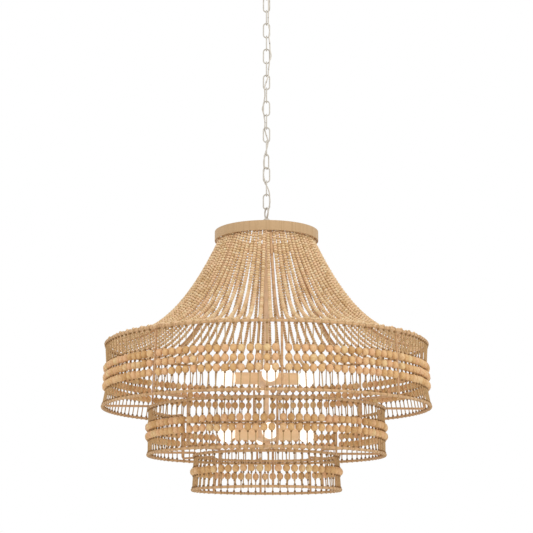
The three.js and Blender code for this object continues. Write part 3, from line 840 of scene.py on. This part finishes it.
class CHANDELIER_OT_bell_strands(bpy.types.Operator):
    """Strands of small beads from the hoop down to the first tier"""

    bl_idname = "chandelier.bell_strands"
    bl_label = "Bell strands"

    def execute(self, context):
        sizes = context.scene.chandelier_body
        tier = tiers()[0]
        low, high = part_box("top_hoop")
        drawn_in, tucked_up, on_ring, hole, fineness = 0.008, 0.006, 0.0008, 0.9 * MM, 8
        inside = sizes.hoop_radius - sizes.hoop_wall - sizes.small_bead / 2
        start = Vector((inside - drawn_in, low.z + tucked_up))
        end = Vector((tier["top_radius"], tier["top"] + sizes.ring_wire / 2 + on_ring))
        line = bell_curve(start, end, 200)
        count = round(line_length(line) / sizes.small_pitch)
        steps = even(line, fineness * count + 1)
        bead = bead_mesh(sizes.small_bead, hole, 4, 8, sizes.small_pitch / sizes.small_bead)
        picks = random.Random(7)
        strands = []
        for first in range(1, 6):
            places = []
            for i in range(first, len(steps) - 1, fineness):
                before, middle, after = steps[i - 1], steps[i], steps[i + 1]
                lean = math.atan2(after.x - before.x, before.y - after.y)
                places.append(
                    Matrix.Translation((middle.x, 0, middle.y))
                    @ Matrix.Rotation(-lean, 4, "Y")
                    @ Matrix.Rotation(picks.uniform(0, math.pi), 4, "Z")
                    @ Matrix.Scale(picks.uniform(0.95, 1.03), 4)
                )
            strands.append(strung(bead, places))
        angles = string_angles(sizes.bell_strands, sizes.bell_space)
        cords = []
        for bay in range(sizes.rib_count):
            copies = []
            for angle in angles[bay * sizes.bell_strands :][: sizes.bell_strands]:
                turn = angle + picks.uniform(-1, 1) * math.radians(0.5)
                copies.append((picks.choice(strands), Matrix.Rotation(turn, 4, "Z")))
                cords.append([(at_angle(p.x, turn, p.y), 1) for p in line[::8] + [line[-1]]])
            beads = to_mesh(moved(copies, count, 300 + bay), "bell")
            as_piece(
                f"bell_beads_{bay + 1}", beads, "small_beads",
                "body", ["bell_bead_strands"],
            )
        strings = tube("bell_strings", cords, sizes.bell_cord, sides=6)
        as_piece(
            "bell_strings", strings, "string", "body",
            ["bell_bead_strands"],
        )
        return {"FINISHED"}


class CHANDELIER_OT_hoop(bpy.types.Operator):
    """The hoop wound with strip, and the spider that carries it on the stem"""

    bl_idname = "chandelier.hoop"
    bl_label = "Hoop and spider"

    def execute(self, context):
        sizes = context.scene.chandelier_body
        low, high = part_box("top_hoop")
        inner, outer = sizes.hoop_radius - sizes.hoop_wall, sizes.hoop_radius
        middle = (inner + outer) / 2
        corners = [
            (middle, low.z), (outer, low.z), (outer, high.z), (inner, high.z),
            (inner, low.z), (middle, low.z),
        ]
        edge, groove = 0.0014, 0.00025
        outline = rounded(corners, edge)[:-1]
        turns = round(2 * math.pi * outer / sizes.hoop_strip)
        bm = turned(outline, 2 * turns, closed=True)
        layer = bm.verts.layers.float.new("turn")
        picks = random.Random(41)
        tones = [picks.random() for _ in range(turns + 1)]
        for vert in bm.verts:
            angle = math.atan2(vert.co.y, vert.co.x) % (2 * math.pi)
            number = round(angle / math.pi * turns)
            vert[layer] = tones[(number // 2) % turns]
            if number % 2 == 0:
                away = Vector((vert.co.x, vert.co.y, 0)).normalized()
                sign = 1 if vert.co.xy.length > middle else -1
                vert.co -= away * sign * groove
        as_piece(
            "hoop_band", to_mesh(bm, "hoop_band"), "band", "body",
            ["top_hoop"],
        )
        self.spider(sizes, (low.z + high.z) / 2, inner)
        return {"FINISHED"}

    def spider(self, sizes, height, reach):
        """Four flat arms on a collar that slides over the stem."""
        stem = bpy.context.scene.chandelier_metal.stem / 2 + FIT_GAP
        collar, collar_edge, start, arm_edge = 0.013, 0.001, 0.0115, 0.0008
        arm_width, arm_thickness, turn_share = 0.010, 0.004, 0.25
        low, high = height - COLLAR_HALF, height + COLLAR_HALF
        corners = [(stem, low), (collar, low), (collar, high), (stem, high)]
        bm = turned(rounded(corners, collar_edge), 32, closed=True)
        for i in range(4):
            arm = bmesh.ops.create_cube(bm, size=1)["verts"]
            bmesh.ops.scale(bm, verts=arm, vec=(reach - start, arm_width, arm_thickness))
            bmesh.ops.translate(bm, verts=arm, vec=((reach + start) / 2, 0, height))
            angle = sizes.first_rib + (i + turn_share) * math.pi / 2
            bmesh.ops.rotate(
                bm, verts=arm, cent=(0, 0, 0), matrix=Matrix.Rotation(angle, 3, "Z")
            )
            edges = {edge for vert in arm for edge in vert.link_edges}
            bmesh.ops.bevel(
                bm, geom=list(edges), offset=arm_edge, offset_type="OFFSET", segments=2,
                profile=0.5, affect="EDGES", material=-1,
            )
        as_piece(
            "hoop_spider", to_mesh(bm, "hoop_spider"), "stem",
            "body", ["top_hoop"], sharp=True,
        )


# Chain and cord


LINKS = [f"chain_link_{k:02d}" for k in range(1, 17)]
TWISTED_LINK = 13


def link_yaw(number):
    """Turn of a link. Each is square to the last, but for the twisted one."""
    if number == TWISTED_LINK:
        return math.pi / 4
    shifted = number + 1 if number > TWISTED_LINK else number
    return 0 if shifted % 2 else math.pi / 2


def wire_loop(radius, straight, middle, yaw, steps=12):
    """Places round a loop of wire with half-round ends, standing on its edge."""
    run = []
    for side, start in ((1, 0), (-1, math.pi)):
        for i in range(steps + 1):
            angle = start + math.pi * i / steps
            across = radius * math.cos(angle)
            height = radius * math.sin(angle) + side * straight
            place = Matrix.Rotation(yaw, 3, "Z") @ Vector((across, 0, height))
            run.append((place + Vector((0, 0, middle)), 1))
    if straight == 0:
        run = run[: steps + 1] + run[steps + 2 : -1]
    return run


class CHANDELIER_OT_chain(bpy.types.Operator):
    """Sixteen links of round wire"""

    bl_idname = "chandelier.chain"
    bl_label = "Chain"

    def execute(self, context):
        sizes = context.scene.chandelier_metal
        bow = (sizes.link_width + sizes.link_wire) / 2
        straight = (sizes.link_length - sizes.link_width) / 2
        for number, node in enumerate(LINKS, 1):
            run = wire_loop(bow, straight, middle_height(node), link_yaw(number))
            mesh = tube(node, [run], sizes.link_wire, sides=12, closed=True)
            as_piece(
                node + "_wire", mesh, "paint",
                f"link_{number:02d}", [node],
            )
        return {"FINISHED"}


# Where the cord lies beside the chain: where two links meet, and beside each link
CORD_AT_CONTACT_SHARES = [
    (1.15, -1), (1.3, -1), (1.2, -1), (1.6, -1), (2.3, -1), (1.9, -1), (1.2, -1),
    (-1.3, -1), (-1.6, 1), (-1.6, 1), (-1.2, 1), (1.05, 1), (-1.05, 1), (-1.6, 1.05),
    (-1.05, 1), (2, 1), (1.5, 1),
]
CORD_AT_LINK_SHARES = [
    (1.4, -1), (1.2, -1), (2, -1), (2.1, -1), (3.05, -1), (1.4, -1), (-0.1, -1),
    (-1.05, 0), (-2.7, 1), (-1.05, 1), (-0.1, 1), (0.2, 1), (-1.9, 1.1), (-1.9, 1),
    (1.05, 1), (2.2, 1),
]


def rounded_line(points, steps):
    """A centripetal spline through the points, with some steps between each two."""
    ends = [2 * points[0] - points[1], *points, 2 * points[-1] - points[-2]]
    line = [points[0]]
    for a, b, c, d in zip(ends, ends[1:], ends[2:], ends[3:]):
        t = [0]
        for p, q in ((a, b), (b, c), (c, d)):
            t.append(t[-1] + max((q - p).length, MERGE_GAP) ** 0.5)
        for i in range(1, steps + 1):
            at = t[1] + (t[2] - t[1]) * i / steps
            ab = a.lerp(b, (at - t[0]) / (t[1] - t[0]))
            bc = b.lerp(c, (at - t[1]) / (t[2] - t[1]))
            cd = c.lerp(d, (at - t[2]) / (t[3] - t[2]))
            abc = ab.lerp(bc, (at - t[0]) / (t[2] - t[0]))
            bcd = bc.lerp(cd, (at - t[1]) / (t[3] - t[1]))
            line.append(abc.lerp(bcd, (at - t[1]) / (t[2] - t[1])))
    return line


class CHANDELIER_OT_supply_cord(bpy.types.Operator):
    """The supply cord woven round the chain, in one stretch for each joint"""

    bl_idname = "chandelier.supply_cord"
    bl_label = "Supply cord"

    def route(self, sizes):
        aside = sizes.link_wire / 2 + sizes.supply_cord / 2 + 2 * FIT_GAP
        above, inside, past = 0.0097, 0.001, 0.008
        near = sizes.link_wire + FIT_GAP
        half = (sizes.link_length + sizes.link_wire) / 2
        middles = [middle_height(node) for node in LINKS]
        low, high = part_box("supply_cord")

        def beside(shares, height):
            return Vector((shares[0] * aside, shares[1] * aside, height))

        contact, along = CORD_AT_CONTACT_SHARES, CORD_AT_LINK_SHARES
        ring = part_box("canopy_loop")[0].z + 2 * sizes.loop_wire + sizes.canopy_ring
        mouth = ring - sizes.loop_wire
        places = [
            Vector((0, 0, high.z)),
            Vector((0, 0, mouth + above)),
            Vector((0, 0, mouth - inside)),
            beside((0.75, -0.6), mouth - past),
            beside(contact[0], middles[0] + half + near),
            beside(contact[0], middles[0] + half - near),
        ]
        for k, middle in enumerate(middles):
            if k:
                places.append(beside(contact[k], middle + half - near))
            places.append(beside(along[k], middle))
            places.append(beside(contact[k + 1], middle - half + near))
        loop_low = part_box("body_loop")[1].z - 2 * sizes.loop_wire - sizes.body_ring
        body_mouth = loop_low + sizes.loop_wire
        places.append(beside((1.2, 1), middles[-1] - half - near))
        places.append(beside((0.55, 0.5), body_mouth + past))
        places.append(Vector((0, 0, body_mouth)))
        places.append(Vector((0, 0, body_mouth - sizes.loop_wire)))
        places.append(Vector((0, 0, low.z)))
        return places

    def execute(self, context):
        sizes = context.scene.chandelier_metal
        line = rounded_line(self.route(sizes), 6)
        bend = 0.007
        joints = frame["joints"]
        heights = [joint["pos_m"][2] for joint in joints]
        cuts = [(a + b) / 2 for a, b in zip(heights, heights[1:])]
        bounds = [line[0].z + 1, *cuts, line[-1].z - 1]
        for number, joint in enumerate(joints):
            high, low = bounds[number], bounds[number + 1]
            inside = [i for i, place in enumerate(line) if low <= place.z <= high]
            first, last = max(inside[0] - 1, 0), min(inside[-1] + 1, len(line) - 1)
            run = [(place, 1) for place in line[first : last + 1]]
            name = f"supply_cord_{number + 1:02d}"
            mesh = tube(name, [run], sizes.supply_cord, sides=10)
            piece = as_piece(
                name, mesh, "jacket", None, ["supply_cord"]
            )
            height = joint["pos_m"][2]
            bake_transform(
                piece, joint["parent"], joint["child"],
                start=(0, 0, height + bend), end=(0, 0, height - bend),
            )
        return {"FINISHED"}


# Canopy, loops and stem

LOOP_BORE, LOOP_THROAT, LOOP_BARREL = 0.0027, 0.0045, 0.0055
LOOP_DIP, LOOP_RISE = 0.001, 0.0012
CORD_HOLE = 0.0053
FINIAL_SHARES = [
    (0.28, 0.01), (0.45, 0.07), (0.42, 0.13), (0.72, 0.22), (0.96, 0.38), (1, 0.5),
    (0.95, 0.66), (0.82, 0.86),
]


class CHANDELIER_OT_canopy(bpy.types.Operator):
    """The canopy, its bracket and the loop that hangs from it"""

    bl_idname = "chandelier.canopy"
    bl_label = "Canopy"

    def execute(self, context):
        sizes = context.scene.chandelier_metal
        self.shell()
        self.bracket()
        self.loop(sizes)
        return {"FINISHED"}

    def shell(self):
        low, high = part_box("canopy_shell")
        radius, wall, crown, skirt = high.x, 0.0016, 0.018, 0.004
        lip_in, lip_down = 0.0004, 0.0006

        def dome(outer, floor, steps=14):
            arc = []
            for i in range(steps + 1):
                a = math.pi / 2 * i / steps
                out = crown + (outer - crown) * math.cos(a)
                arc.append((out, -skirt - (-floor - skirt) * math.sin(a)))
            return arc

        outside = dome(radius, low.z)
        inside = dome(radius - wall, low.z + wall)
        profile = [(radius - lip_in, 0), (radius, -lip_down), *outside, (CORD_HOLE, low.z)]
        profile += [(CORD_HOLE, low.z + wall), *reversed(inside), (radius - wall, 0)]
        as_piece(
            "canopy_dome", to_mesh(turned(profile, 96, closed=True), "canopy_dome"),
            "paint", "canopy", ["canopy_shell"], sharp=True,
        )

    def bracket(self):
        low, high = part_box("ceiling_bracket")
        corner, screw_place, screw_hole, past = 0.006, 0.042, 0.0026, 0.01
        bm = bmesh.new()
        plate = bmesh.ops.create_cube(bm, size=1)["verts"]
        bmesh.ops.scale(bm, verts=plate, vec=high - low)
        bmesh.ops.translate(bm, verts=plate, vec=(high + low) / 2)
        upright = [e for e in bm.edges if abs(e.verts[0].co.z - e.verts[1].co.z) > MM]
        bmesh.ops.bevel(
            bm, geom=upright, offset=corner, offset_type="OFFSET", segments=5,
            profile=0.5, affect="EDGES", material=-1,
        )
        mesh = to_mesh(bm, "bracket")
        piece = as_piece(
            "bracket_plate", mesh, "steel", "canopy",
            ["ceiling_bracket"], sharp=True,
        )
        holes = ((0, CORD_HOLE), (-screw_place, screw_hole), (screw_place, screw_hole))
        for number, (place, radius) in enumerate(holes):
            drill = turned([(0, -past), (radius, -past), (radius, past), (0, past)], 32)
            bmesh.ops.translate(drill, verts=drill.verts, vec=(place, 0, 0))
            cutter = bpy.data.objects.new(f"drill_{number}", to_mesh(drill, "drill"))
            bpy.context.scene.collection.objects.link(cutter)
            hole = piece.modifiers.new("hole", "BOOLEAN")
            hole.object = cutter
            hole.solver = "EXACT"
            depsgraph = bpy.context.evaluated_depsgraph_get()
            drilled = bpy.data.meshes.new_from_object(piece.evaluated_get(depsgraph))
            piece.modifiers.clear()
            piece.data = drilled
            bpy.data.objects.remove(cutter)
        piece.data.set_sharp_from_angle(angle=SMOOTH_ANGLE)

    def loop(self, sizes):
        low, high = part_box("canopy_loop")
        ring = (sizes.canopy_ring + sizes.loop_wire) / 2
        middle = low.z + ring + sizes.loop_wire / 2
        neck = middle + ring
        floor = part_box("canopy_shell")[0].z - FIT_GAP
        flange, flange_foot, flange_edge = 0.011, 0.0057, 0.0054
        threads, thread, thread_share = 14, 0.005, 0.9
        profile = [
            (LOOP_BORE, neck - LOOP_DIP), (LOOP_THROAT, neck - LOOP_DIP),
            (LOOP_BARREL, neck + LOOP_RISE), (LOOP_BARREL, floor - flange_foot),
            (flange, floor - flange_edge), (flange, floor), (thread, floor),
        ]
        for i in range(threads):
            height = floor + (high.z - floor) * (i + 0.5) / threads
            step = (high.z - floor) / threads / 2
            profile += [(thread, height - step * thread_share), (LOOP_THROAT, height)]
        profile += [(LOOP_THROAT, high.z), (LOOP_BORE, high.z)]
        bm = turned(profile, 32, closed=True)
        loop = tube(
            "canopy_ring", [wire_loop(ring, 0, middle, link_yaw(1) + math.pi / 2, 20)],
            sizes.loop_wire, sides=12, closed=True,
        )
        bm.from_mesh(loop)
        as_piece(
            "canopy_eye", to_mesh(bm, "canopy_eye"), "paint",
            "canopy", ["canopy_loop"], sharp=True,
        )


class CHANDELIER_OT_stem(bpy.types.Operator):
    """The loop on the body, the stem tube, the hubs and the finial"""

    bl_idname = "chandelier.stem"
    bl_label = "Stem"

    def execute(self, context):
        sizes = context.scene.chandelier_metal
        self.loop(sizes)
        self.tube(sizes)
        for node in ("upper_hub", "lower_hub"):
            self.hub(sizes, node)
        self.finial(sizes)
        return {"FINISHED"}

    def loop(self, sizes):
        low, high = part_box("body_loop")
        ring = (sizes.body_ring + sizes.loop_wire) / 2
        middle = high.z - ring - sizes.loop_wire / 2
        foot = middle - ring
        socket = sizes.stem / 2 + FIT_GAP
        collar, shoulder, deep, edge = 0.0095, 0.005, 0.0083, 0.0008
        step = low.z + deep
        corners = [
            (LOOP_BORE, step), (socket, step), (socket, low.z), (collar, low.z),
            (collar, foot - shoulder), (LOOP_BARREL, foot - LOOP_DIP),
            (LOOP_THROAT, foot + LOOP_RISE), (LOOP_BORE, foot + LOOP_RISE),
        ]
        bm = turned(rounded(corners, edge), 40, closed=True)
        loop = tube(
            "body_ring",
            [wire_loop(ring, 0, middle, link_yaw(len(LINKS)) + math.pi / 2 + sizes.ring_turn, 20)],
            sizes.loop_wire, sides=12, closed=True,
        )
        bm.from_mesh(loop)
        as_piece(
            "body_eye", to_mesh(bm, "body_eye"), "paint",
            "body", ["body_loop"], sharp=True,
        )

    def tube(self, sizes):
        low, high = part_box("stem_tube")
        outer, bore, edge = sizes.stem / 2, 0.0045, 0.0005
        nut_radius, nut_height = 0.0105, 0.005
        nut = middle_height("top_hoop") - COLLAR_HALF - FIT_GAP
        corners = [
            (bore, low.z), (outer, low.z), (outer, nut - nut_height),
            (nut_radius, nut - nut_height), (nut_radius, nut), (outer, nut),
            (outer, high.z), (bore, high.z),
        ]
        profile = [(bore, (low.z + high.z) / 2)] + rounded(corners, edge)
        as_piece(
            "stem_pipe", to_mesh(turned(profile, 32, closed=True), "stem_pipe"),
            "stem", "body", ["stem_tube"], sharp=True,
        )

    def hub(self, sizes, node):
        low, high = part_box(node)
        radius, bore = sizes.hub / 2, sizes.stem / 2 + FIT_GAP
        slant, edge = 0.006, 0.004
        corners = [
            (bore, low.z), (radius - slant, low.z), (radius, low.z + slant),
            (radius, high.z - slant), (radius - slant, high.z), (bore, high.z),
        ]
        profile = [(bore, middle_height(node))] + rounded(corners, edge, 5)
        as_piece(
            node + "_cup", to_mesh(turned(profile, 64, closed=True), node),
            "stem", "body", [node], sharp=True,
        )

    def finial(self, sizes):
        low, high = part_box("finial")
        radius = (high.x - low.x) / 2
        tall = high.z - low.z
        bore = sizes.stem / 2 + FIT_GAP
        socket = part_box("stem_tube")[0].z - FIT_GAP
        shape = [(out * radius, low.z + up * tall) for out, up in FINIAL_SHARES]
        shape = [(0, low.z), *shape, (0.8 * radius, high.z)]
        shape += [(bore, high.z), (bore, socket), (0, socket)]
        as_piece(
            "finial_nut", to_mesh(turned(shape, 40), "finial_nut"), "stem",
            "body", ["finial"], sharp=True,
        )


class CHANDELIER_OT_lamps(bpy.types.Operator):
    """Eight sleeves with their lamp holders, and eight globe bulbs"""

    bl_idname = "chandelier.lamps"
    bl_label = "Lamps"

    def execute(self, context):
        sizes = context.scene.chandelier_metal
        first = context.scene.chandelier_body.first_rib
        start = sizes.hub / 2 + FIT_GAP
        for level in ("upper", "lower"):
            height = middle_height(level + "_hub")
            for i in range(4):
                lie = (
                    Matrix.Translation((0, 0, height))
                    @ Matrix.Rotation(first + i * math.pi / 2, 4, "Z")
                    @ Matrix.Translation((start, 0, 0))
                    @ Matrix.Rotation(math.pi / 2, 4, "Y")
                )
                self.lamp(sizes, level, i + 1, lie)
        return {"FINISHED"}

    def laid(self, profile, steps, lie, name, closed=False):
        bm = turned(profile, steps, closed)
        bmesh.ops.transform(bm, matrix=lie, verts=bm.verts)
        return to_mesh(bm, name)

    def lamp(self, sizes, level, number, lie):
        radius, tall = sizes.sleeve / 2, sizes.sleeve_length
        wall, start, skirt, edge = 0.0018, 0.008, 0.006, 0.0006
        bore = radius - wall
        sleeve = f"{level}_lamp_sleeve_{number}"
        corners = [
            (bore, start), (bore, -skirt), (radius, -skirt), (radius, tall), (bore, tall),
            (bore, start),
        ]
        card = self.laid(rounded(corners, edge)[:-1], 48, lie, sleeve, closed=True)
        as_piece(
            sleeve + "_card", card, "sleeve", "body", [sleeve],
            sharp=True,
        )
        body, rim, socket, rim_end, floor, edge = 0.0125, 0.0138, 0.0066, 0.0495, 0.0297, 0.0008
        corners = [
            (0, 0), (0.011, 0), (body, 0.006), (body, 0.036), (rim, 0.04),
            (rim, rim_end), (socket, rim_end), (socket, floor), (0, floor),
        ]
        holder = self.laid(rounded(corners, edge), 32, lie, sleeve)
        as_piece(
            sleeve + "_holder", holder, "sleeve", "body",
            [sleeve], sharp=True,
        )
        bulb = f"{level}_bulb_{number}"
        globe, neck, seat, steps = sizes.globe / 2, 0.013, 0.0504, 20
        middle = tall + 0.001 + globe
        begin = math.asin(neck / globe)
        profile = [(0, seat), (0.0062, seat), (0.0078, 0.053), (0.0105, 0.0575)]
        for i in range(steps + 1):
            a = begin + (math.pi - begin) * i / steps
            profile.append((globe * math.sin(a), middle - globe * math.cos(a)))
        profile[-1] = (0, middle + globe)
        glass = self.laid(profile, 40, lie, bulb)
        as_piece(bulb + "_glass", glass, "bulb", "body", [bulb])
        base = [(0, 0.0302), (0.003, 0.0302), (0.0052, 0.033)]
        crest, root, pitch = 0.006, 0.0056, 0.0026
        for i in range(6):
            height = 0.034 + i * pitch
            base += [(crest, height), (root, height + pitch / 2)]
        base += [(crest, 0.05), (0, seat)]
        shell = self.laid(base, 24, lie, bulb)
        as_piece(bulb + "_base", shell, "brass", "body", [bulb])


# Stage

CAMERA_PLACE, CAMERA_PITCH = (0, -3.85, -1.6715), 11.88
FLOOR_HEIGHT, FLOOR_REACH = -2.3, 9
LIT_PLACE = (0, 0, -1.1)


class CHANDELIER_OT_stage(bpy.types.Operator):
    """Pale floor, soft light and the camera of the photograph"""

    bl_idname = "chandelier.stage"
    bl_label = "Stage"

    def execute(self, context):
        scene = context.scene
        scene.view_settings.view_transform = "Standard"
        self.camera(scene)
        self.floor()
        self.sky(scene)
        self.softbox("key", (2.8, -3.2, 1.2), 3.0, 60)
        self.softbox("fill", (-3.2, -2.8, 0.2), 3.0, 22)
        return {"FINISHED"}

    def camera(self, scene):
        data = bpy.data.cameras.new("camera")
        data.sensor_width = 36
        data.lens = 94.56
        data.clip_end = 60
        camera = bpy.data.objects.new("camera", data)
        camera.location = CAMERA_PLACE
        camera.rotation_euler = (math.radians(90 + CAMERA_PITCH), 0, 0)
        scene.collection.objects.link(camera)
        scene.camera = camera

    def floor(self):
        bm = bmesh.new()
        bmesh.ops.create_grid(bm, x_segments=1, y_segments=1, size=FLOOR_REACH)
        bmesh.ops.translate(bm, verts=bm.verts, vec=(0, 0, FLOOR_HEIGHT))
        floor = bpy.data.objects.new("floor", to_mesh(bm, "floor"))
        bpy.context.scene.collection.objects.link(floor)
        material, tree, shader = blank("Pale floor")
        # Matt studio paper: pale and even
        fill(tree, shader, Base_Color=opaque(linear("#f4f3f1")), Roughness=0.9)
        floor.data.materials.append(material)

    def sky(self, scene):
        """Soft light from all round, and plain white where the camera sees it."""
        world = bpy.data.worlds.new("studio")
        world.use_nodes = True
        tree = world.node_tree
        tree.nodes.clear()
        path = add_node(tree, "ShaderNodeLightPath").outputs
        seen = add_node(tree, "ShaderNodeMath", {"operation": "MAXIMUM"})
        tree.links.new(path["Is Camera Ray"], seen.inputs[0])
        tree.links.new(path["Is Glossy Ray"], seen.inputs[1])
        also = add_node(tree, "ShaderNodeMath", {"operation": "MAXIMUM"})
        tree.links.new(seen.outputs[0], also.inputs[0])
        tree.links.new(path["Is Transmission Ray"], also.inputs[1])
        light = add_node(
            tree, "ShaderNodeBackground", Color=opaque(linear("#fffdfa")), Strength=0.92
        )
        white = add_node(tree, "ShaderNodeBackground", Color=(1, 1, 1, 1), Strength=1.0)
        mix = add_node(tree, "ShaderNodeMixShader", Fac=also.outputs[0])
        tree.links.new(light.outputs[0], mix.inputs[1])
        tree.links.new(white.outputs[0], mix.inputs[2])
        add_node(tree, "ShaderNodeOutputWorld", Surface=mix.outputs[0])
        scene.world = world

    def softbox(self, name, place, size, power):
        data = bpy.data.lights.new(name, "AREA")
        data.shape = "DISK"
        data.size = size
        data.energy = power
        lamp = bpy.data.objects.new(name, data)
        lamp.location = place
        aim = Vector(LIT_PLACE) - Vector(place)
        lamp.rotation_euler = aim.to_track_quat("-Z", "Y").to_euler()
        bpy.context.scene.collection.objects.link(lamp)


class CHANDELIER_PT_pieces(bpy.types.Panel):
    """Lists the chandelier's pieces and settings"""

    bl_label = "Chandelier"
    bl_idname = "CHANDELIER_PT_pieces"
    bl_space_type = "VIEW_3D"
    bl_region_type = "UI"
    bl_category = "Chandelier"

    def draw(self, context):
        layout = self.layout
        for operator in OPERATORS:
            layout.operator(operator.bl_idname)
        for group in GROUPS:
            box = layout.box()
            settings = getattr(context.scene, group)
            for key in settings.bl_rna.properties.keys():
                if key not in ("rna_type", "name"):
                    box.prop(settings, key)


GROUPS = {
    "chandelier_body": BodySizes,
    "chandelier_metal": MetalSizes,
    "chandelier_finishes": Finishes,
}
OPERATORS = [
    CHANDELIER_OT_stage,
    CHANDELIER_OT_canopy,
    CHANDELIER_OT_chain,
    CHANDELIER_OT_supply_cord,
    CHANDELIER_OT_stem,
    CHANDELIER_OT_lamps,
    CHANDELIER_OT_hoop,
    CHANDELIER_OT_rings,
    CHANDELIER_OT_ribs,
    CHANDELIER_OT_tier_strings,
    CHANDELIER_OT_bell_strands,
]
CLASSES = [*GROUPS.values(), *OPERATORS, CHANDELIER_PT_pieces]


def register():
    for item in CLASSES:
        bpy.utils.register_class(item)
    for name, group in GROUPS.items():
        setattr(bpy.types.Scene, name, PointerProperty(type=group))


def unregister():
    for name in GROUPS:
        delattr(bpy.types.Scene, name)
    for item in reversed(CLASSES):
        bpy.utils.unregister_class(item)


def main():
    register()
    make_materials()
    for operator in OPERATORS:
        group, name = operator.bl_idname.split(".")
        getattr(getattr(bpy.ops, group), name)()
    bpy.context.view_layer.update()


if __name__ == "__main__":
    main()
